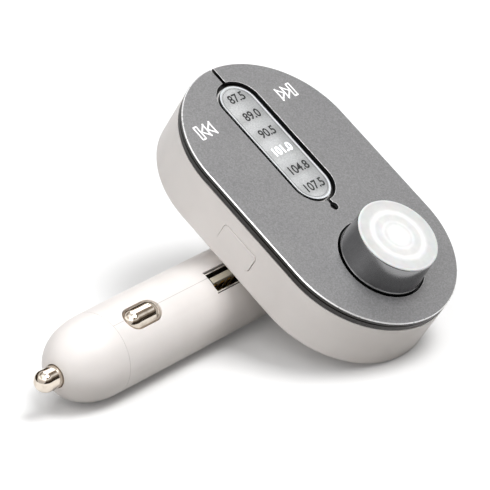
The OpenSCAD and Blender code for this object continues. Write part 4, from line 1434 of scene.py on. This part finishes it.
@dataclass
class Plug(Pieces):
    """Barrel shells, nose, centre pin, side contacts and screw of the folding plug."""

    seam: float = 61.0
    groove: float = 0.05
    smooth: float = 40.0
    barrel_r: float = 10.35
    draft: float = 0.05
    nose_l: float = 14.4
    nose_full: float = 2.4
    nose_blunt: float = 1.47
    nose_steps: int = 40
    nose_edge: tuple[Pair, ...] = ((0.0, -0.07), (0.06, -0.01))
    end_r: float = 3.05
    end_wall: float = 3.6
    hole_r: float = 2.95
    hole_edge: tuple[Pair, ...] = ((0.0, 0.04), (-0.06, 0.0))
    room_r: float = 4.2
    room_from: float = 4.0
    bore_r: float = 8.75
    spigot_l: float = 1.8
    spigot_gap: float = 0.05
    spigot_wall: float = 1.3
    pin_r: float = 2.75
    pin_out: float = 5.8
    pin_steps: int = 96
    tip_steps: int = 16
    flange_r: float = 3.8
    flange_l: float = 1.2
    flange_edge: float = 0.1
    screw_d: float = 34.0
    screw_r: float = 1.9
    screw_steps: int = 48
    screw_head: float = 1.1
    seat_y: float = 7.0
    shank_r: float = 1.0
    shank_l: float = 12.0
    cross_l: float = 1.15
    cross_w: float = 0.24
    cross_deep: float = 0.6
    cut_slack: float = 0.000001

    def build(self) -> None:
        """Make the shells, the nose, the pin, the contacts and the screw."""
        for side in ("left", "right"):
            self.recut(f"plug_shell_{side}", self.groove, f"barrel_half_{side}", "plug",
                       Slot.WHITE_CASE, self.palette.barrel)
        self.nose()
        self.pin()
        for side in ("upper", "lower"):
            self.recut(f"side_contact_{side}", 0.0, f"side_spring_bar_{side}", f"side_contact_{side}",
                       Slot.CONTACT_CHROME, smooth=self.smooth)
        self.screw()

    def nose_r(self, share: float) -> float:
        """Return the nose's radius.

        Args:
            share: share of the nose's length, from 0 at the seam to 1 at the end.

        Returns:
            The radius, in millimetres.
        """
        start = self.barrel_r - self.draft
        fullness = max(0.0, 1 - share ** self.nose_full) ** (1 / self.nose_blunt)
        return self.end_r + (start - self.end_r) * fullness

    def nose(self) -> None:
        """Make the rounded nose with its groove at the seam and its lip round the pin's hole."""
        end = self.seam + self.nose_l
        stop, room = end - self.end_wall, self.seam + self.room_from
        inner, outer = self.bore_r - self.spigot_wall, self.bore_r - self.spigot_gap
        behind = self.seam - self.spigot_l
        profile = [(behind, inner), (behind, outer), (self.seam, outer)]
        profile += about(self.seam, self.nose_r(0), self.nose_edge)
        shares = [math.sin(angle) for angle in quarter(self.nose_steps)[1:]]
        profile += [(self.seam + self.nose_l * share, self.nose_r(share)) for share in shares]
        profile += about(end, self.hole_r, self.hole_edge)
        profile += [(stop, self.hole_r), (stop, self.room_r), (room, self.room_r), (room, inner)]
        self.dress(self.lathe(profile, True, closed=True), "nose_shell", "plug", Slot.WHITE_CASE,
                   ["nose_cap"], self.palette.nose, smooth=self.smooth)

    def pin(self) -> None:
        """Make the centre pin: flange, shank and round tip."""
        end = self.seam + self.nose_l
        stop, middle = end - self.end_wall, end + self.pin_out - self.pin_r
        back = stop - self.flange_l
        profile = [(back, 0.0), (back, self.flange_r - self.flange_edge),
                   (back + self.flange_edge, self.flange_r), (stop, self.flange_r), (stop, self.pin_r)]
        profile += [(middle + self.pin_r * math.sin(angle), self.pin_r * math.cos(angle))
                    for angle in quarter(self.tip_steps)]
        self.dress(self.lathe(profile, True, steps=self.pin_steps), "tip_pin", "centre_pin",
                   Slot.CONTACT_CHROME, ["centre_pin"], smooth=self.smooth)

    def in_cross(self, place: Vector) -> bool:
        """Say whether a place in the screw's head lies in its cross recess."""
        near, far = sorted((abs(place.x), abs(place.y)))
        return near < self.cross_w and far < self.cross_l

    def screw(self) -> None:
        """Make the screw through the shells, with a cross recess in its head."""
        bm = bmesh.new()
        bmesh.ops.create_circle(bm, cap_ends=True, radius=self.screw_r, segments=self.screw_steps)
        for axis in ((1, 0, 0), (0, 1, 0)):
            for place in (-self.cross_l, -self.cross_w, self.cross_w, self.cross_l):
                everything = bm.verts[:] + bm.edges[:] + bm.faces[:]
                bmesh.ops.bisect_plane(bm, geom=everything, dist=self.cut_slack,
                                       plane_co=[place * a for a in axis], plane_no=axis)
        bmesh.ops.recalc_face_normals(bm, faces=bm.faces[:])
        cross = [face for face in bm.faces if self.in_cross(face.calc_center_median())]
        head = bmesh.ops.extrude_edge_only(bm, edges=rim_of(bm))
        bmesh.ops.translate(bm, verts=made_verts(head), vec=(0, 0, -self.screw_head))
        neck = bmesh.ops.extrude_edge_only(bm, edges=rim_of(bm))
        narrow = self.shank_r / self.screw_r
        bmesh.ops.scale(bm, verts=made_verts(neck), vec=(narrow, narrow, 1))
        shank = bmesh.ops.extrude_edge_only(bm, edges=rim_of(bm))
        bmesh.ops.translate(bm, verts=made_verts(shank), vec=(0, 0, -self.shank_l))
        bmesh.ops.holes_fill(bm, edges=rim_of(bm), sides=0)
        pit = bmesh.ops.extrude_face_region(bm, geom=cross)
        bmesh.ops.translate(bm, verts=made_verts(pit), vec=(0, 0, -self.cross_deep))
        bmesh.ops.delete(bm, geom=[face for face in cross if face.is_valid], context="FACES_ONLY")
        bmesh.ops.recalc_face_normals(bm, faces=bm.faces[:])
        bmesh.ops.translate(bm, verts=bm.verts[:], vec=(0, 0, self.seat_y + self.screw_head))
        across = Matrix.Translation((-self.screw_d, 0, 0)) @ Matrix.Rotation(-math.pi / 2, 4, "X")
        bmesh.ops.transform(bm, matrix=across, verts=bm.verts[:])
        self.dress(bm, "barrel_screw", "plug", Slot.SCREW_STEEL, ["plug_screw"])


@dataclass
class UsbPort(Pieces):
    """Metal mouth of the charging port with its tongue and contacts."""

    edge: float = 0.06
    tongue_edge: float = 0.12
    contact_edge: float = 0.05
    rim_deep: float = 0.15
    rim_up: float = 0.3

    def build(self) -> None:
        """Round the port's edges and give its pieces their finishes."""
        shell = self.copy("usb_shell", self.edge)
        self.part_rim(shell)
        self.dress(shell, "port_shell", "plug", Slot.SCREW_STEEL, ["usb_shell"], self.palette.port,
                   drawn=False, others=(self.palette.port_painted_shade,))
        self.recut("usb_tongue", self.tongue_edge, "port_tongue", "plug", Slot.INNER_PLASTIC)
        self.recut("usb_contacts", self.contact_edge, "port_contacts", "plug", Slot.SHAFT_BRASS,
                   self.palette.gold)

    def part_rim(self, shell: BMesh) -> None:
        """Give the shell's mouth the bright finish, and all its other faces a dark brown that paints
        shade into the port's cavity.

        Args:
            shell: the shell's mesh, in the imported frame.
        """
        drawing = STANCE.matrix().inverted()
        turned = drawing.to_3x3().normalized()
        heights = {face: (drawing @ face.calc_center_median()).z for face in shell.faces}
        mouth = max(heights.values()) - self.rim_deep
        for face, height in heights.items():
            bright = height > mouth and (turned @ face.normal).z > self.rim_up
            face.material_index = int(not bright)


@dataclass
class Hinge(Pieces):
    """Lug, pin, washers and leads of the hinge."""

    lug_edge: float = 0.12
    rivet_edge: float = 0.18

    def build(self) -> None:
        """Round the lug and the pin's heads, and dress what stays the CAD's."""
        self.recut("hinge_lug", self.lug_edge, "lug_block", "head", Slot.WHITE_CASE)
        self.recut("hinge_pin", self.rivet_edge, "hinge_rivet", "plug", Slot.SCREW_STEEL)
        self.keep(Slot.WASHER_NYLON, "hinge_washers")
        self.keep(Slot.LEAD_RED, "hinge_leads")
        self.keep(Slot.SCREW_STEEL, "lug_screws")


@dataclass
class Inside(Pieces):
    """Frame, boards, switches, fuse and springs, which keep the CAD's shapes."""

    finishes: dict[Slot, tuple[str, ...]] = field(default_factory=lambda: {
        Slot.BLACK_FRAME: ("inner_frame",),
        Slot.SWITCH_BUTTON: ("prev_plunger", "next_plunger", "channel_plunger", "press_plunger"),
        Slot.SWITCH_METAL: ("key_switches", "channel_switch", "encoder_body", "shield_can", "crystal",
                            "mic_capsule"),
        Slot.GUIDE_WHITE: ("light_guide",),
        Slot.LED_LENS: ("scale_leds",),
        Slot.SCREW_STEEL: ("frame_screws",),
        Slot.BOARD_GREEN: ("main_board", "power_board"),
        Slot.CHIP_BLACK: ("head_chips", "power_chips", "inductor"),
        Slot.CAN_BLUE: ("head_capacitors", "power_capacitors"),
        Slot.FUSE_GLASS: ("fuse_tube",),
        Slot.FUSE_CAP: ("fuse_caps",),
        Slot.SPRING_STEEL: ("pin_spring", "contact_spring_upper", "contact_spring_lower"),
        Slot.INNER_PLASTIC: ("fuse_holder", "lead_connector"),
        Slot.SHAFT_BRASS: ("fuse_contact",),
    })

    def build(self) -> None:
        """Dress every node of the inside."""
        for slot, nodes in self.finishes.items():
            self.keep(slot, *nodes)


@dataclass(frozen=True)
class Lamp:
    """A wide, distant light: where it shines from, how strongly and how softly."""

    name: str
    shines_from: Triple
    level: float
    spread: float

    def build(self) -> None:
        """Make the lamp."""
        data = bpy.data.lights.new(self.name, "SUN")
        data.energy = self.level
        data.angle = math.radians(self.spread)
        hang(self.name, data, self.shines_from)


@dataclass
class Studio:
    """Pale floor, soft light from above, the left and behind, and the photograph's camera."""

    camera_at: Triple = (-0.44640, -0.38999, 0.29792)
    azimuth: float = -49.049
    elevation: float = 25.9
    lens: float = 199.25
    sensor: float = 36.0
    sees_to: float = 20.0
    lamps: tuple[Lamp, ...] = (
        Lamp("key_top", (0.14, -0.41, 1.0), 1.82, 27.0),
        Lamp("side_left", (-1.0, 0.0, 0.7), 1.08, 90.0),
        Lamp("back_right", (0.6, 0.35, 1.0), 0.85, 40.0),
    )
    soft_at: Triple = (-0.17, -0.08, 0.2)
    soft_size: float = 0.15
    soft_power: float = 0.12
    fill_level: float = 0.12
    floor_half: float = 4.0
    floor_cloud: float = 60.0
    floor_shade: Colour = (253, 253, 253)
    floor_glow: float = 0.05
    floor_bounce: Colour = (158, 156, 153)
    horizon: Colour = (62, 55, 48)
    ceiling: Colour = (150, 140, 130)
    band: tuple[float, ...] = (0.0, 0.34, 0.42, 0.5, 0.56, 0.64, 0.72, 0.82, 0.9, 1.0)

    def build(self) -> None:
        """Make the floor, the light and the camera."""
        self.floor()
        for lamp in self.lamps:
            lamp.build()
        self.softbox()
        self.world()
        self.camera()
        bpy.context.scene.view_settings.view_transform = "Standard"

    def floor(self) -> None:
        """Make a wide floor that shows white and keeps the object's shadow."""
        bm = bmesh.new()
        bmesh.ops.create_grid(bm, x_segments=2, y_segments=2, size=self.floor_half)
        bmesh.ops.translate(bm, verts=bm.verts[:], vec=(0, 0, STANCE.floor()))
        mesh = bpy.data.meshes.new("floor")
        bm.to_mesh(mesh)
        bm.free()
        g = Finish("floor_white")
        seen = g.shown()
        at = g.add("TexCoord").outputs["Object"]
        pale = g.mottle(at, self.floor_cloud, FEW, self.floor_shade)
        g.set(Base_Color=g.blend(seen, linear(self.floor_bounce), pale))
        g.set(Roughness=1.0, Specular_IOR_Level=0.0, Emission_Color=LIT)
        g.set(Emission_Strength=g.sum("MULTIPLY", seen, self.floor_glow))
        mesh.materials.append(g.material)
        floor = bpy.data.objects.new("floor", mesh)
        bpy.context.scene.collection.objects.link(floor)

    def softbox(self) -> None:
        """Make the near soft lamp, which grades the face from its lower left to its upper right."""
        data = bpy.data.lights.new("softbox", "AREA")
        data.shape = "SQUARE"
        data.size = self.soft_size
        data.energy = self.soft_power
        hang("softbox", data, self.soft_at, self.soft_at)

    def world(self) -> None:
        """Make the even light all round, which shows white, with a dark horizon in reflections."""
        world = bpy.data.worlds.new("studio")
        bpy.context.scene.world = world
        world.use_nodes = True
        g = Graph(world.node_tree)
        around = g.tree.nodes["Background"]
        g.feed(around, "Strength", g.span(g.shown(), 0.0, 1.0, self.fill_level, 1.0))
        _, _, height = g.parts(g.add("TexCoord").outputs["Generated"])
        low, mid = self.horizon, self.ceiling
        sky = g.ramp(height, zip(self.band, (low, low, mid, mid, WHITE, WHITE, mid, mid, WHITE, WHITE)))
        glossy = g.add("LightPath").outputs["Is Glossy Ray"]
        g.feed(around, "Color", g.blend(glossy, LIT, sky))

    def camera(self) -> None:
        """Make the camera."""
        data = bpy.data.cameras.new("camera")
        data.lens = self.lens
        data.sensor_width = self.sensor
        data.clip_end = self.sees_to
        a, e = math.radians(self.azimuth), math.radians(self.elevation)
        back = (math.sin(a) * math.cos(e), -math.cos(a) * math.cos(e), math.sin(e))
        bpy.context.scene.camera = hang("camera", data, back, self.camera_at)


def main() -> None:
    """Build the studio and every sub-assembly."""
    logging.basicConfig(level=logging.INFO, format="%(name)s: %(message)s")
    Studio().build()
    palette = Palette()
    for maker in (Casing, Face, Dial, Knob, Plug, UsbPort, Hinge, Inside):
        maker(palette).build()
    bpy.context.view_layer.update()


if __name__ == "__main__":
    main()
